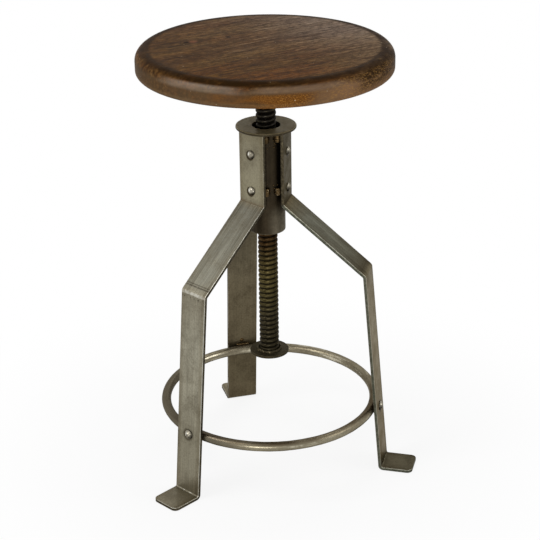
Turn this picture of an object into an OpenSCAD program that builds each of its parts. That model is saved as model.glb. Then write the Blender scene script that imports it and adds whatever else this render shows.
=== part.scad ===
// Screw-height bar stool: a round wooden seat on a threaded spindle, carried by a tube hub
// with three bent flat-bar legs and a footrest ring.
// Origin on the floor on the spindle's axis, +Z up, the back leg towards +Y.

/* [Seat] */
// Diameter of the wooden seat
seat_d = 350; // [300:1:400]
// Thickness of the wooden seat
seat_t = 33; // [26:0.5:45]
// Height of the seat's top above the floor as photographed
seat_top_z = 623; // [590:1:640]
// Radius of the seat's upper edge
seat_top_round = 15; // [4:0.5:18]
// Radius of the seat's lower edge
seat_low_round = 6; // [2:0.5:8]

/* [Seat plate] */
// Diameter of the steel plate under the seat
plate_d = 110; // [90:1:160]
// Thickness of the steel plate under the seat
plate_t = 5; // [4:0.5:8]
// Diameter of the boss under the plate that the spindle is fixed in
boss_d = 44; // [42:0.5:60]
// Height of the boss under the plate
boss_h = 11; // [6:0.5:14]
// Distance of the wood screws from the axis
screw_circle_r = 40; // [32:0.5:48]
// Number of wood screws in the plate
screw_count = 4; // [3:1:8]
// Diameter of a wood screw's shank
screw_d = 5; // [4:0.1:6]
// Diameter of a wood screw's countersunk head
screw_head_d = 9.6; // [8:0.1:11]
// Height of a wood screw's countersunk head
screw_head_h = 2.8; // [2:0.1:3.5]
// Length of a wood screw with its head
screw_len = 25; // [16:1:28]

/* [Spindle] */
// Outer diameter of the spindle's thread
thread_d = 28.2; // [25:0.1:32]
// Depth of the thread's groove
thread_depth = 2.1; // [1:0.05:2.4]
// Pitch of the single-start right-hand thread, 3.5 turns to the inch
pitch = 7.25; // [6:0.05:9]
// Diameter of the plain top end that fits in the plate's boss
spigot_d = 23.4; // [18:0.1:24]
// Radial gap between the thread and the nut
thread_gap = 0.5; // [0.45:0.05:0.8]

/* [End disc] */
// Diameter of the stop disc at the spindle's foot
disc_d = 56; // [48:0.5:70]
// Thickness of the stop disc
disc_t = 4; // [3:0.1:6]
// Height of the stop disc's top above the floor as photographed
disc_top_z = 170; // [166:1:200]
// Width of the weld bead around the spindle's foot
disc_bead_w = 4; // [2:0.5:6]
// Height of the weld bead around the spindle's foot
disc_bead_h = 3.5; // [2:0.5:5]

/* [Hub] */
// Outer diameter of the hub tube
tube_d = 50.8; // [48:0.1:60]
// Wall of the hub tube
tube_wall = 4.5; // [3:0.1:5]
// Height of the hub tube's lower end above the floor
tube_low_z = 358; // [350:1:375]
// Height of the flange's top above the floor
flange_top_z = 512; // [505:1:515]
// Diameter of the flange
flange_d = 84; // [70:0.5:100]
// Thickness of the flange
flange_t = 4; // [3:0.1:6]
// Diameter of the hole in the flange
flange_hole_d = 39.5; // [36:0.1:41]
// Length of the nut inside the hub tube
nut_len = 50; // [30:1:60]
// Height of the nut's middle above the floor
nut_mid_z = 455; // [440:1:470]

/* [Legs] */
// Width of the flat bar
bar_w = 46; // [40:0.5:52]
// Thickness of the flat bar
bar_t = 4.5; // [4:0.1:6]
// Inside radius of each bend
bend_r = 2.5; // [1:0.5:6]
// Height of the upper bend's corner above the floor
shoulder_z = 404; // [390:1:412]
// Distance of the knee's outer corner from the axis
knee_r = 146; // [135:1:155]
// Height of the knee's outer corner above the floor
knee_z = 307; // [290:1:330]
// Distance of the heel's corner from the axis, on the outer face
heel_r = 172; // [162:1:190]
// Length of the foot beyond the heel's corner
foot_len = 44.5; // [30:0.5:60]
// Radius of the foot's corners seen from above
foot_round = 8; // [3:0.5:14]

/* [Rivets] */
// Diameter of a rivet's shank
rivet_d = 6; // [4:0.1:7]
// Diameter of a hub rivet's round head
rivet_head_d = 12.4; // [9:0.1:14]
// Height of a hub rivet's round head
rivet_head_h = 3.9; // [2:0.1:5]
// Height of the upper row of hub rivets
rivet_high_z = 476; // [460:1:490]
// Distance between the two rows of hub rivets
rivet_rows = 53; // [40:1:60]

/* [Footrest] */
// Diameter of the footrest's round bar
ring_bar_d = 14; // [10:0.5:18]
// Height of the footrest's centreline above the floor
ring_z = 93.5; // [88:0.5:94]
// Diameter of a footrest rivet's stepped head
ring_head_d = 13.4; // [9:0.1:15]
// Height of a footrest rivet's stepped head
ring_head_h = 4.8; // [3:0.1:6]
// Depth of a footrest rivet in the ring's bar
ring_rivet_depth = 6; // [4:0.5:7]

/* [Welds] */
// Length of each weld bead between a leg and the hub tube
hub_bead_len = 14; // [6:1:24]
// Width of each weld bead between a leg and the hub tube
hub_bead_w = 5; // [3:0.5:7]
// Length of each weld bead between a leg and the footrest
ring_bead_len = 22; // [10:1:36]
// Size of each weld bead between a leg and the footrest
ring_bead_w = 4; // [2:0.5:5]

/* [Clearances] */
// Gap between pieces that touch
touch = 0.05; // [0.02:0.01:0.2]
// Radial gap round a rivet or screw in its hole
hole_gap = 0.1; // [0.05:0.05:0.3]
// Gap between the turning spindle and the stop disc
turn_gap = 0.3; // [0.2:0.05:0.6]

/* [Hidden] */

// Directions of the legs seen from above, in degrees from +X
front_left = 210;
front_right = 330;
back = 90;
leg_directions = [front_left, front_right, back];

// Facets of the true round surfaces
$fn = 96;
cut = 1;

seat_low_z = seat_top_z - seat_t;
plate_low_z = seat_low_z - touch - plate_t;
boss_low_z = plate_low_z - boss_h;

tube_r = tube_d / 2;
bore_r = tube_r - tube_wall;
flange_low_z = flange_top_z - flange_t;
tube_top_z = flange_low_z - touch;
hub_face_r = tube_r + touch + bar_t;
toe_r = heel_r + foot_len;

// Lean of the legs' lower stretch from the vertical, and its inner face at a height
shin_lean = atan2(heel_r - knee_r, knee_z - bar_t);
function shin_inner_r(z) =
    knee_r + (heel_r - knee_r) * (knee_z - z) / (knee_z - bar_t) - bar_t / cos(shin_lean);

// The footrest's bar lies against the inner faces of the legs
ring_reach = ring_bar_d / 2 + touch;
ring_r = shin_inner_r(ring_z) - ring_reach / cos(shin_lean);

rivet_zs = [rivet_high_z, rivet_high_z - rivet_rows];
rivet_hole_r = rivet_d / 2 + hole_gap;

crest_r = thread_d / 2;
root_r = crest_r - thread_depth;
spindle_low_z = disc_top_z + turn_gap;
thread_top_z = boss_low_z - touch;
spindle_top_z = seat_low_z - 2 * touch;

wood = [0.33, 0.23, 0.16];
steel = [0.50, 0.48, 0.43];
dark_steel = [0.30, 0.27, 0.22];
screw_steel = [0.24, 0.20, 0.14];
bright_steel = [0.68, 0.66, 0.60];

// Points of a thread's outline along one pitch: share of the pitch, and share of the depth.
// The crest is a round arch that falls to a narrow groove.
thread_shape = [[0, 0], [0.2, 0.66], [0.5, 1], [0.8, 0.66]];
thread_steps = len(thread_shape);
thread_sides = 18;

// Height and radius of the thread's surface at row i and side j of its helix
function thread_z(i, j) =
    pitch * (floor(i / thread_steps) + thread_shape[i % thread_steps][0] + j / thread_sides);
function share_of(z, len) = max(0, min(1, z / len));
function run_in(z) = share_of(z - pitch, pitch / 2);
function run_out(z, len) = share_of(len - pitch - z, pitch / 2);
function thread_r(i, j, r, depth, len) =
    let (z = thread_z(i, j), cut_in = run_in(z))
    r + depth * (1 - cut_in + cut_in * thread_shape[i % thread_steps][1] * run_out(z, len));
function round_point(r, j, z) =
    [r * cos(360 * j / thread_sides), r * sin(360 * j / thread_sides), z];

// A right-hand threaded rod from z = 0 to len with root radius r. Its foot is left uncut over the
// first pitch. It ends in a plain spigot of radius end_r and length end_len, if that is over 0. One
// grid of helical rows covers the thread; row i of side j = thread_sides is row i + thread_steps of
// side 0.
module threaded_rod(r, depth, len, end_r, end_len) {
    n = thread_sides;
    s = thread_steps;
    rows = (floor(len / pitch) - 1) * s;
    side_0 = [for (i = [0 : rows + s]) round_point(thread_r(i, 0, r, depth, len), 0,
        thread_z(i, 0) + 0.05 * pitch)];
    sides = [for (j = [1 : n - 1]) for (i = [0 : rows])
        round_point(thread_r(i, j, r, depth, len), j, thread_z(i, j) + 0.05 * pitch)];
    low = [for (j = [0 : n - 1]) round_point(r + depth, j, 0)];
    high = [for (j = [0 : n - 1]) round_point(r, j, len)];
    neck = end_len > 0 ? [for (j = [0 : n - 1]) round_point(end_r, j, len)] : [];
    top = end_len > 0 ? [for (j = [0 : n - 1]) round_point(end_r, j, len + end_len)] : [];
    points = concat(side_0, sides, low, high, neck, top);

    at_low = len(side_0) + len(sides);
    at_high = at_low + n;
    at_neck = at_high + n;
    at_top = at_neck + n;
    function grid(i, j) = j == 0 ? i : j == n ? i + s : rows + s + 1 + (j - 1) * (rows + 1) + i;
    function band(a, b) = [for (j = [0 : n - 1]) let (k = (j + 1) % n)
        each [[a + j, b + j, b + k], [a + j, b + k, a + k]]];

    thread = [for (j = [0 : n - 1]) for (i = [0 : rows - 1]) each
        [[grid(i, j), grid(i + 1, j), grid(i + 1, j + 1)], [grid(i, j), grid(i + 1, j + 1), grid(i, j + 1)]]];
    foot = [for (j = [0 : n - 2]) each
        [[at_low + j, grid(0, j), grid(0, j + 1)], [at_low + j, grid(0, j + 1), at_low + j + 1]]];
    foot_seam = concat([[grid(0, n - 1), at_low, at_low + n - 1], [grid(0, n - 1), grid(0, 0), at_low]],
        [for (i = [0 : s - 1]) [grid(0, n - 1), grid(i + 1, 0), grid(i, 0)]]);
    head_seam = concat([[grid(rows, 1), at_high, at_high + 1], [grid(rows, 1), grid(rows + s, 0), at_high]],
        [for (i = [0 : s - 1]) [grid(rows, 1), grid(rows + i, 0), grid(rows + i + 1, 0)]]);
    head = [for (j = [1 : n - 1]) let (k = (j + 1) % n) each
        [[grid(rows, j), at_high + j, at_high + k], [grid(rows, j), at_high + k, grid(rows, j + 1)]]];
    low_cap = [[for (j = [0 : n - 1]) at_low + j]];
    last = end_len > 0 ? at_top : at_high;
    high_cap = [[for (j = [n - 1 : -1 : 0]) last + j]];
    spigot = end_len > 0 ? concat(band(at_high, at_neck), band(at_neck, at_top)) : [];
    polyhedron(points, concat(thread, foot, foot_seam, head_seam, head, spigot, low_cap, high_cap));
}

// Outline of a strip of thickness t bent along the corners of its left side, with arcs of inside
// radius r at the corners. Each arc's centre lies on the corner's bisector.
function unit(v) = v / norm(v);
function left_of(v) = [-v[1], v[0]];
function bent_side(corners, t, r, shift, steps = 6) = concat(
    [corners[0] - shift * left_of(unit(corners[1] - corners[0]))],
    [for (k = [1 : len(corners) - 2])
        let (
            n1 = left_of(unit(corners[k] - corners[k - 1])),
            n2 = left_of(unit(corners[k + 1] - corners[k])),
            turn = sign(n1[0] * n2[1] - n1[1] * n2[0]),
            arc_r = turn > 0 ? r : r + t,
            centre = corners[k] + turn * arc_r * (n1 + n2) / (1 + n1 * n2),
            angle = atan2(n1[0] * n2[1] - n1[1] * n2[0], n1 * n2)
        )
        for (q = [0 : steps])
            let (a = atan2(n1[1], n1[0]) + angle * q / steps)
            centre - (turn * arc_r + shift) * [cos(a), sin(a)]],
    [let (last = len(corners) - 1)
        corners[last] - shift * left_of(unit(corners[last] - corners[last - 1]))]
);
function reversed(list) = [for (i = [len(list) - 1 : -1 : 0]) list[i]];

// Turns children from the leg's own frame, where X points outwards along the leg
module at_leg(direction) {
    rotate([0, 0, direction]) children();
}

// Carries children to the point of the leg where the footrest's rivet enters: X along the rivet
module at_footrest_rivet() {
    translate([ring_r, 0, ring_z])
        rotate([0, -shin_lean, 0])
            children();
}

module seat_outline() {
    inner_r = seat_d / 2 - seat_top_round;
    low_r = seat_d / 2 - seat_low_round;
    square([inner_r, seat_t]);
    square([low_r, seat_t - seat_top_round]);
    translate([0, seat_low_round])
        square([seat_d / 2, seat_t - seat_top_round - seat_low_round]);
    translate([inner_r, seat_t - seat_top_round])
        intersection() {
            circle(seat_top_round);
            square(seat_top_round);
        }
    translate([low_r, seat_low_round])
        intersection() {
            circle(seat_low_round);
            translate([0, -seat_low_round])
                square(seat_low_round);
        }
}

module at_seat_screws() {
    for (k = [0 : screw_count - 1])
        rotate([0, 0, 45 + k * 360 / screw_count])
            translate([screw_circle_r, 0, plate_low_z])
                children();
}

// The wooden seat, drilled for the plate's wood screws
module seat() {
    color(wood)
        difference() {
            translate([0, 0, seat_low_z])
                rotate_extrude()
                    seat_outline();
            at_seat_screws()
                translate([0, 0, plate_t])
                    cylinder(r = screw_d / 2 + hole_gap, h = screw_len - plate_t + 1);
        }
}

// The steel plate under the seat, with the boss that holds the spindle's top
module seat_plate() {
    color(dark_steel)
        difference() {
            union() {
                translate([0, 0, plate_low_z])
                    cylinder(d = plate_d, h = plate_t);
                translate([0, 0, boss_low_z])
                    cylinder(d = boss_d, h = boss_h + plate_t / 2);
            }
            translate([0, 0, boss_low_z - cut])
                cylinder(r = spigot_d / 2 + hole_gap, h = boss_h + plate_t + 2 * cut);
            at_seat_screws() {
                translate([0, 0, -cut])
                    cylinder(r = screw_d / 2 + hole_gap, h = plate_t + 2 * cut);
                translate([0, 0, -touch])
                    cylinder(r1 = screw_head_d / 2 + hole_gap, r2 = screw_d / 2 + hole_gap,
                        h = screw_head_h);
            }
        }
}

// The countersunk wood screws that hold the plate to the seat
module seat_screws() {
    color(bright_steel)
        at_seat_screws() {
            cylinder(d = screw_d, h = screw_len);
            cylinder(r1 = screw_head_d / 2, r2 = screw_d / 2, h = screw_head_h);
        }
}

// The threaded spindle, plain at its top where it enters the boss
module spindle() {
    color(screw_steel)
        translate([0, 0, spindle_low_z])
            threaded_rod(root_r, thread_depth, thread_top_z - spindle_low_z,
                spigot_d / 2, spindle_top_z - thread_top_z);
}

// The stop disc at the spindle's foot, with its ring of weld
module end_disc() {
    bead_r = crest_r + turn_gap;
    color(screw_steel)
        rotate_extrude()
            polygon([[0, disc_top_z - disc_t], [disc_d / 2, disc_top_z - disc_t],
                [disc_d / 2, disc_top_z], [bead_r + disc_bead_w, disc_top_z],
                [bead_r, disc_top_z + disc_bead_h], [bead_r, disc_top_z], [0, disc_top_z]]);
}

// The washer-shaped flange on top of the hub
module hub_flange() {
    color(dark_steel)
        translate([0, 0, flange_low_z])
            difference() {
                cylinder(d = flange_d, h = flange_t);
                translate([0, 0, -cut])
                    cylinder(d = flange_hole_d, h = flange_t + 2 * cut);
            }
}

// The hub tube, drilled for the rivets
module hub_tube() {
    color(dark_steel)
        difference() {
            translate([0, 0, tube_low_z])
                cylinder(r = tube_r, h = tube_top_z - tube_low_z);
            translate([0, 0, tube_low_z - cut])
                cylinder(r = bore_r, h = tube_top_z - tube_low_z + 2 * cut);
            for (direction = leg_directions)
                at_leg(direction)
                    for (z = rivet_zs)
                        translate([bore_r / 2, 0, z])
                            rotate([0, 90, 0])
                                cylinder(r = rivet_hole_r, h = tube_r);
        }
}

// The hexagon nut inside the hub tube. Its corners touch the bore, and its thread follows the
// spindle's with a gap.
module spindle_nut() {
    turns_up = floor((nut_mid_z - nut_len / 2 - spindle_low_z) / pitch) - 2;
    thread_z0 = spindle_low_z + turns_up * pitch;
    color(dark_steel)
        difference() {
            translate([0, 0, nut_mid_z - nut_len / 2])
                cylinder(r = bore_r - touch, h = nut_len, $fn = 6);
            translate([0, 0, thread_z0])
                threaded_rod(root_r + thread_gap, thread_depth, nut_len + 5 * pitch, 0, 0);
        }
}

// Beads in the corners between the hub tube and the legs' edges
module hub_welds() {
    color(dark_steel)
        for (direction = leg_directions)
            at_leg(direction)
                for (side = [-1, 1])
                    for (z = [tube_top_z - hub_bead_len - touch, rivet_zs[1] - hub_bead_len / 2])
                        translate([0, 0, z])
                            linear_extrude(hub_bead_len)
                                difference() {
                                    translate([tube_r - 2 * hub_bead_w, side * (bar_w - hub_bead_w) / 2])
                                        translate([0, -hub_bead_w / 2])
                                            square([2 * hub_bead_w, hub_bead_w]);
                                    circle(tube_r + touch);
                                }
}

// One leg of flat bar: upright against the hub, out to the knee, down to the heel, out to the toe
module leg(direction) {
    corners = [[hub_face_r, tube_top_z], [hub_face_r, shoulder_z], [knee_r, knee_z],
        [heel_r, bar_t], [toe_r, bar_t]];
    color(steel)
        at_leg(direction)
            difference() {
                intersection() {
                    rotate([90, 0, 0])
                        linear_extrude(bar_w, center = true)
                            polygon(concat(bent_side(corners, bar_t, bend_r, 0),
                                reversed(bent_side(corners, bar_t, bend_r, bar_t))));
                    linear_extrude(flange_top_z)
                        foot_plan();
                }
                for (z = rivet_zs)
                    translate([hub_face_r - bar_t - cut, 0, z])
                        rotate([0, 90, 0])
                            cylinder(r = rivet_hole_r, h = bar_t + 2 * cut);
                at_footrest_rivet()
                    translate([ring_reach - cut, 0, 0])
                        rotate([0, 90, 0])
                            cylinder(r = rivet_hole_r, h = bar_t + 2 * cut);
            }
}

// A leg seen from above, with the toe's round corners
module foot_plan() {
    inner_w = bar_w / 2 - foot_round;
    translate([0, -bar_w / 2])
        square([toe_r - foot_round, bar_w]);
    translate([0, -inner_w])
        square([toe_r, 2 * inner_w]);
    for (side = [-1, 1])
        translate([toe_r - foot_round, side * inner_w])
            circle(foot_round);
}

module leg_front_left() { leg(front_left); }
module leg_front_right() { leg(front_right); }
module leg_back() { leg(back); }

// A round head of base radius r and height h on the plane x = 0, and its shank towards -X
module round_rivet(r, h, shank_len) {
    ball_r = (r * r + h * h) / (2 * h);
    rotate([0, 90, 0])
        rotate_extrude()
            union() {
                translate([0, -shank_len])
                    square([rivet_d / 2, shank_len + h / 2]);
                intersection() {
                    translate([0, h - ball_r])
                        circle(ball_r);
                    square([r, h]);
                }
            }
}

// The two rivets that hold one leg to the hub tube
module hub_rivets(direction) {
    color(bright_steel)
        at_leg(direction)
            for (z = rivet_zs)
                translate([hub_face_r + touch, 0, z])
                    round_rivet(rivet_head_d / 2, rivet_head_h, hub_face_r + touch - bore_r - touch);
}

module hub_rivets_front_left() { hub_rivets(front_left); }
module hub_rivets_front_right() { hub_rivets(front_right); }
module hub_rivets_back() { hub_rivets(back); }

// The footrest: a ring of round bar, drilled for its three rivets
module footrest_ring() {
    color(steel)
        difference() {
            translate([0, 0, ring_z])
                rotate_extrude()
                    translate([ring_r, 0])
                        circle(d = ring_bar_d);
            for (direction = leg_directions)
                at_leg(direction)
                    at_footrest_rivet()
                        translate([ring_bar_d / 2 - ring_rivet_depth - touch, 0, 0])
                            rotate([0, 90, 0])
                                cylinder(r = rivet_hole_r, h = ring_bar_d);
        }
}

// Beads above and below the footrest's bar where it meets each leg
module footrest_welds() {
    color(dark_steel)
        for (direction = leg_directions)
            at_leg(direction)
                difference() {
                    at_footrest_rivet()
                        for (side = [-1, 1])
                            translate([ring_bar_d / 2 - ring_bead_w, -ring_bead_len / 2,
                                side * ring_bar_d / 2 - ring_bead_w / 2])
                                cube([ring_bead_w, ring_bead_len, ring_bead_w]);
                    translate([0, 0, ring_z])
                        rotate_extrude()
                            translate([ring_r, 0])
                                circle(r = ring_reach);
                }
}

// One stepped rivet with a dimple in its head, through a leg into the footrest's bar
module footrest_rivet(direction) {
    step_h = 0.3 * ring_head_h;
    dome_r = 0.36 * ring_head_d;
    dome_h = ring_head_h - step_h;
    ball_r = (dome_r * dome_r + dome_h * dome_h) / (2 * dome_h);
    dimple_r = 0.3 * dome_r;
    shank_len = bar_t + touch + ring_rivet_depth;
    color(bright_steel)
        at_leg(direction)
            at_footrest_rivet()
                translate([ring_reach + bar_t + touch, 0, 0])
                    rotate([0, 90, 0])
                        rotate_extrude()
                            difference() {
                                union() {
                                    translate([0, -shank_len])
                                        square([rivet_d / 2, shank_len + step_h]);
                                    square([ring_head_d / 2, step_h]);
                                    intersection() {
                                        translate([0, ring_head_h - ball_r])
                                            circle(ball_r);
                                        square([dome_r, ring_head_h]);
                                    }
                                }
                                translate([0, ring_head_h])
                                    circle(dimple_r);
                            }
}

module footrest_rivet_front_left() { footrest_rivet(front_left); }
module footrest_rivet_front_right() { footrest_rivet(front_right); }
module footrest_rivet_back() { footrest_rivet(back); }

seat();
seat_plate();
seat_screws();
spindle();
end_disc();
hub_flange();
hub_tube();
spindle_nut();
hub_welds();
leg_front_left();
leg_front_right();
leg_back();
hub_rivets_front_left();
hub_rivets_front_right();
hub_rivets_back();
footrest_ring();
footrest_welds();
footrest_rivet_front_left();
footrest_rivet_front_right();
footrest_rivet_back();
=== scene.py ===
import math

import bmesh
import bpy
import numpy as np
from mathutils import Matrix, Vector


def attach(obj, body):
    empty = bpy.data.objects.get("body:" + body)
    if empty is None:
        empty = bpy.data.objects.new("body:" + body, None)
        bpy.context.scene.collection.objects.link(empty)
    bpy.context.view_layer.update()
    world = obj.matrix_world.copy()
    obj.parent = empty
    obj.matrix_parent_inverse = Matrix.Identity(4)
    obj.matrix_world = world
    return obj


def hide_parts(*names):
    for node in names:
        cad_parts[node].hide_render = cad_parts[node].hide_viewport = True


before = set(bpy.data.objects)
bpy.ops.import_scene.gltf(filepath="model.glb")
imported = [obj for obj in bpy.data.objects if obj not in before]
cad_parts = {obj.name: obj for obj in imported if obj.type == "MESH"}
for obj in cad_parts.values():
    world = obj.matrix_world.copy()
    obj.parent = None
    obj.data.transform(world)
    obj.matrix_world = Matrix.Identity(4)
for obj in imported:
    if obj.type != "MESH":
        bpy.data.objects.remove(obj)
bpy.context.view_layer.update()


# Camera, floor and lamps.
# The photograph was taken with a long lens from in front of the stool, a little to its left and above
# its seat. The floor is a pale paper sweep that fades to white, and four soft lamps stand round it.
stand_off, eye_height = 2.06111, 1.21052
round_to_left = math.radians(15.3845)
heading, tilt, roll = round_to_left + 0.00119393, -0.418512, -0.01529
focal_px, frame_px, sensor_mm = 1583.74, 540, 36.0

ahead = Vector((math.sin(heading) * math.cos(tilt), math.cos(heading) * math.cos(tilt), math.sin(tilt)))
level = Vector((math.cos(heading), -math.sin(heading), 0.0))
above = level.cross(ahead)
to_right = math.cos(roll) * level + math.sin(roll) * above
to_top = math.cos(roll) * above - math.sin(roll) * level
eye = Vector((-stand_off * math.sin(round_to_left), -stand_off * math.cos(round_to_left), eye_height))

camera = bpy.data.objects.new("photo_camera", bpy.data.cameras.new("photo_camera"))
bpy.context.scene.collection.objects.link(camera)
camera.data.sensor_width = sensor_mm
camera.data.lens = focal_px * sensor_mm / frame_px
camera.data.clip_start, camera.data.clip_end = 0.05, 50.0
camera.matrix_world = Matrix.Translation(eye) @ Matrix((to_right, to_top, -ahead)).transposed().to_4x4()
bpy.context.scene.camera = camera
bpy.context.scene.view_settings.view_transform = "Standard"


def emptied(owner):
    """The node tree of a material or a world, with nothing in it."""
    owner.use_nodes = True
    owner.node_tree.nodes.clear()
    return owner.node_tree


def place(home, kind, sockets={}, **settings):
    """Adds a shader node to a tree, or to the tree that a node or a socket is in. Each entry of sockets
    is a value, or an output that is linked in."""
    tree = home.id_data
    made = tree.nodes.new("ShaderNode" + kind)
    for name, value in settings.items():
        setattr(made, name, value)
    for name, value in sockets.items():
        if isinstance(value, bpy.types.NodeSocket):
            tree.links.new(value, made.inputs[name])
        else:
            made.inputs[name].default_value = value
    return made


def linked(*values):
    """The first of the values that comes from a node, and so knows its tree."""
    return next(v for v in values if isinstance(v, bpy.types.NodeSocket))


def calc(operation, a, b=0.0, c=0.0):
    """The output of one arithmetic step on a, b and c."""
    return place(linked(a, b, c), "Math", {0: a, 1: b, 2: c}, operation=operation).outputs[0]


def times(first, *others):
    """The product of the values."""
    for other in others:
        first = calc("MULTIPLY", first, other)
    return first


def most(first, *others):
    """The largest of the values."""
    for other in others:
        first = calc("MAXIMUM", first, other)
    return first


def ease(value, low, high, low_out=0.0, high_out=1.0):
    """Goes smoothly from low_out to high_out while value goes from low to high, and stays there."""
    return place(value, "MapRange", {0: value, 1: low, 2: high, 3: low_out, 4: high_out},
                 interpolation_type="SMOOTHSTEP").outputs[0]


def arrow(operation, a, b=(0, 0, 0), scale=1.0):
    """The vector, or the number, that one step on the vectors a and b gives."""
    step = place(a, "VectorMath", {0: a, 1: b, 3: scale}, operation=operation)
    return step.outputs["Value" if operation in ("LENGTH", "DOT_PRODUCT") else "Vector"]


def own_place(home):
    """Where a point is on its object, in metres."""
    return place(home, "TexCoord").outputs["Object"]


def rays_that_look(tree):
    """1 for rays from the camera, from gloss and through glass, 0 for rays that carry plain light."""
    path = place(tree, "LightPath")
    return most(*[path.outputs["Is " + kind + " Ray"] for kind in ("Camera", "Glossy", "Transmission")])


white = (1, 1, 1, 1)
studio = bpy.data.worlds.new("studio")
bpy.context.scene.world = studio
air = emptied(studio)
room_light = place(air, "Background", {"Color": white, "Strength": 0.42})
white_sweep = place(air, "Background", {"Color": white, "Strength": 1.0})
both = place(air, "MixShader", {0: rays_that_look(air), 1: room_light.outputs[0], 2: white_sweep.outputs[0]})
place(air, "OutputWorld", {"Surface": both.outputs[0]})

paper = bpy.data.materials.new("floor_paper")
tree = emptied(paper)
matt = place(tree, "BsdfDiffuse", {"Color": (0.86, 0.86, 0.86, 1)})
glow = place(tree, "Emission", {"Color": white, "Strength": 1.0})
fade = times(rays_that_look(tree), ease(arrow("LENGTH", own_place(tree)), 0.12, 0.60, 0.86, 1.0))
sheet = place(tree, "MixShader", {0: fade, 1: matt.outputs[0], 2: glow.outputs[0]})
clear = place(tree, "BsdfTransparent")
from_below = place(tree, "MixShader", {0: place(tree, "NewGeometry").outputs["Backfacing"],
                                       1: sheet.outputs[0], 2: clear.outputs[0]})
place(tree, "OutputMaterial", {"Surface": from_below.outputs[0]})

floor_half, floor_z = 8, -0.0004
floor_corners = [(x * floor_half, y * floor_half, floor_z) for x, y in [(-1, -1), (1, -1), (1, 1), (-1, 1)]]
floor_mesh = bpy.data.meshes.new("floor")
floor_mesh.from_pydata(floor_corners, [], [(0, 1, 2, 3)])
floor_mesh.materials.append(paper)
floor = bpy.data.objects.new("floor", floor_mesh)
bpy.context.scene.collection.objects.link(floor)


def soft_lamp(name, bearing, height, distance, size, watts):
    """A square lamp at a bearing from the camera's side of the stool, turned to the hub."""
    lamp = bpy.data.lights.new(name, "AREA")
    lamp.energy, lamp.size = watts, size
    stand = bpy.data.objects.new(name, lamp)
    turn = math.radians(bearing) - round_to_left
    spot, hub = Vector((distance * math.sin(turn), -distance * math.cos(turn), height)), Vector((0, 0, 0.4))
    stand.location = spot
    stand.rotation_euler = (hub - spot).to_track_quat("-Z", "Y").to_euler()
    stand.visible_camera = False
    bpy.context.scene.collection.objects.link(stand)


soft_lamp("key_lamp", -63, 1.75, 1.50, 0.90, 19.0)
soft_lamp("front_lamp", -10, 0.34, 1.80, 0.55, 9.0)
soft_lamp("fill_lamp", 78, 1.25, 1.60, 0.90, 6.0)
soft_lamp("back_lamp", 145, 2.05, 1.10, 0.80, 5.0)


# Hub tube.
# A length of drawn steel tube that holds everything together: the legs are riveted and welded to it.
# It was left with its dark brown scale, oiled, and its lower end was filed round.
tube_r, tube_wall, tube_low, tube_high = 0.0254, 0.0045, 0.358, 0.50795


def softened(corners, radii, steps=5, ring=False):
    """A profile of (r, z) points where each corner is an arc tangent to both its sides. A pair of close
    points guards each arc, so that flat faces stay flat when they are shaded smooth. A radius of 0
    keeps the corner. If ring, the last side joins the first corner."""
    corners = np.array(corners, float)
    count = len(corners)
    line = []
    for k in range(count):
        here, radius = corners[k], radii[k]
        if radius == 0 or (not ring and k in (0, count - 1)):
            line.append(here[None])
            continue
        back, on = corners[k - 1] - here, corners[(k + 1) % count] - here
        back_len, on_len = np.linalg.norm(back), np.linalg.norm(on)
        back, on = back / back_len, on / on_len
        half = math.acos(np.clip(back @ on, -1, 1)) / 2
        middle = back + on
        centre = here + middle / np.linalg.norm(middle) * radius / math.sin(half)
        run = radius / math.tan(half)
        first, last = here + back * run - centre, here + on * run - centre
        start = math.atan2(first[1], first[0])
        sweep = (math.atan2(last[1], last[0]) - start + math.pi) % math.tau - math.pi
        turn = start + sweep * np.linspace(0, 1, steps + 1)
        arc = centre + radius * np.stack([np.cos(turn), np.sin(turn)], 1)
        guard = min(0.0004, 0.3 * (back_len - run), 0.3 * (on_len - run))
        line += [(here + back * (run + guard))[None], arc, (here + on * (run + guard))[None]]
    line = np.concatenate(line)
    return np.concatenate([line, line[:1]]) if ring else line


def block(inner, outer, low, high):
    """The (r, z) corners of a plain turned block."""
    return [(inner, low), (outer, low), (outer, high), (inner, high)]


def round_axis(r, a, z):
    """Points at radius r and angle a round the Z axis, at height z: (r cos a, r sin a, z)."""
    return np.stack(np.broadcast_arrays(r * np.cos(a), r * np.sin(a), z), -1)


def turned(profile, sides=96):
    """A turned surface: each profile point (r, z) goes once round the axis."""
    profile = np.array(profile, float)
    return round_axis(profile[:, :1], np.linspace(0, math.tau, sides + 1), profile[:, 1:])


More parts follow.
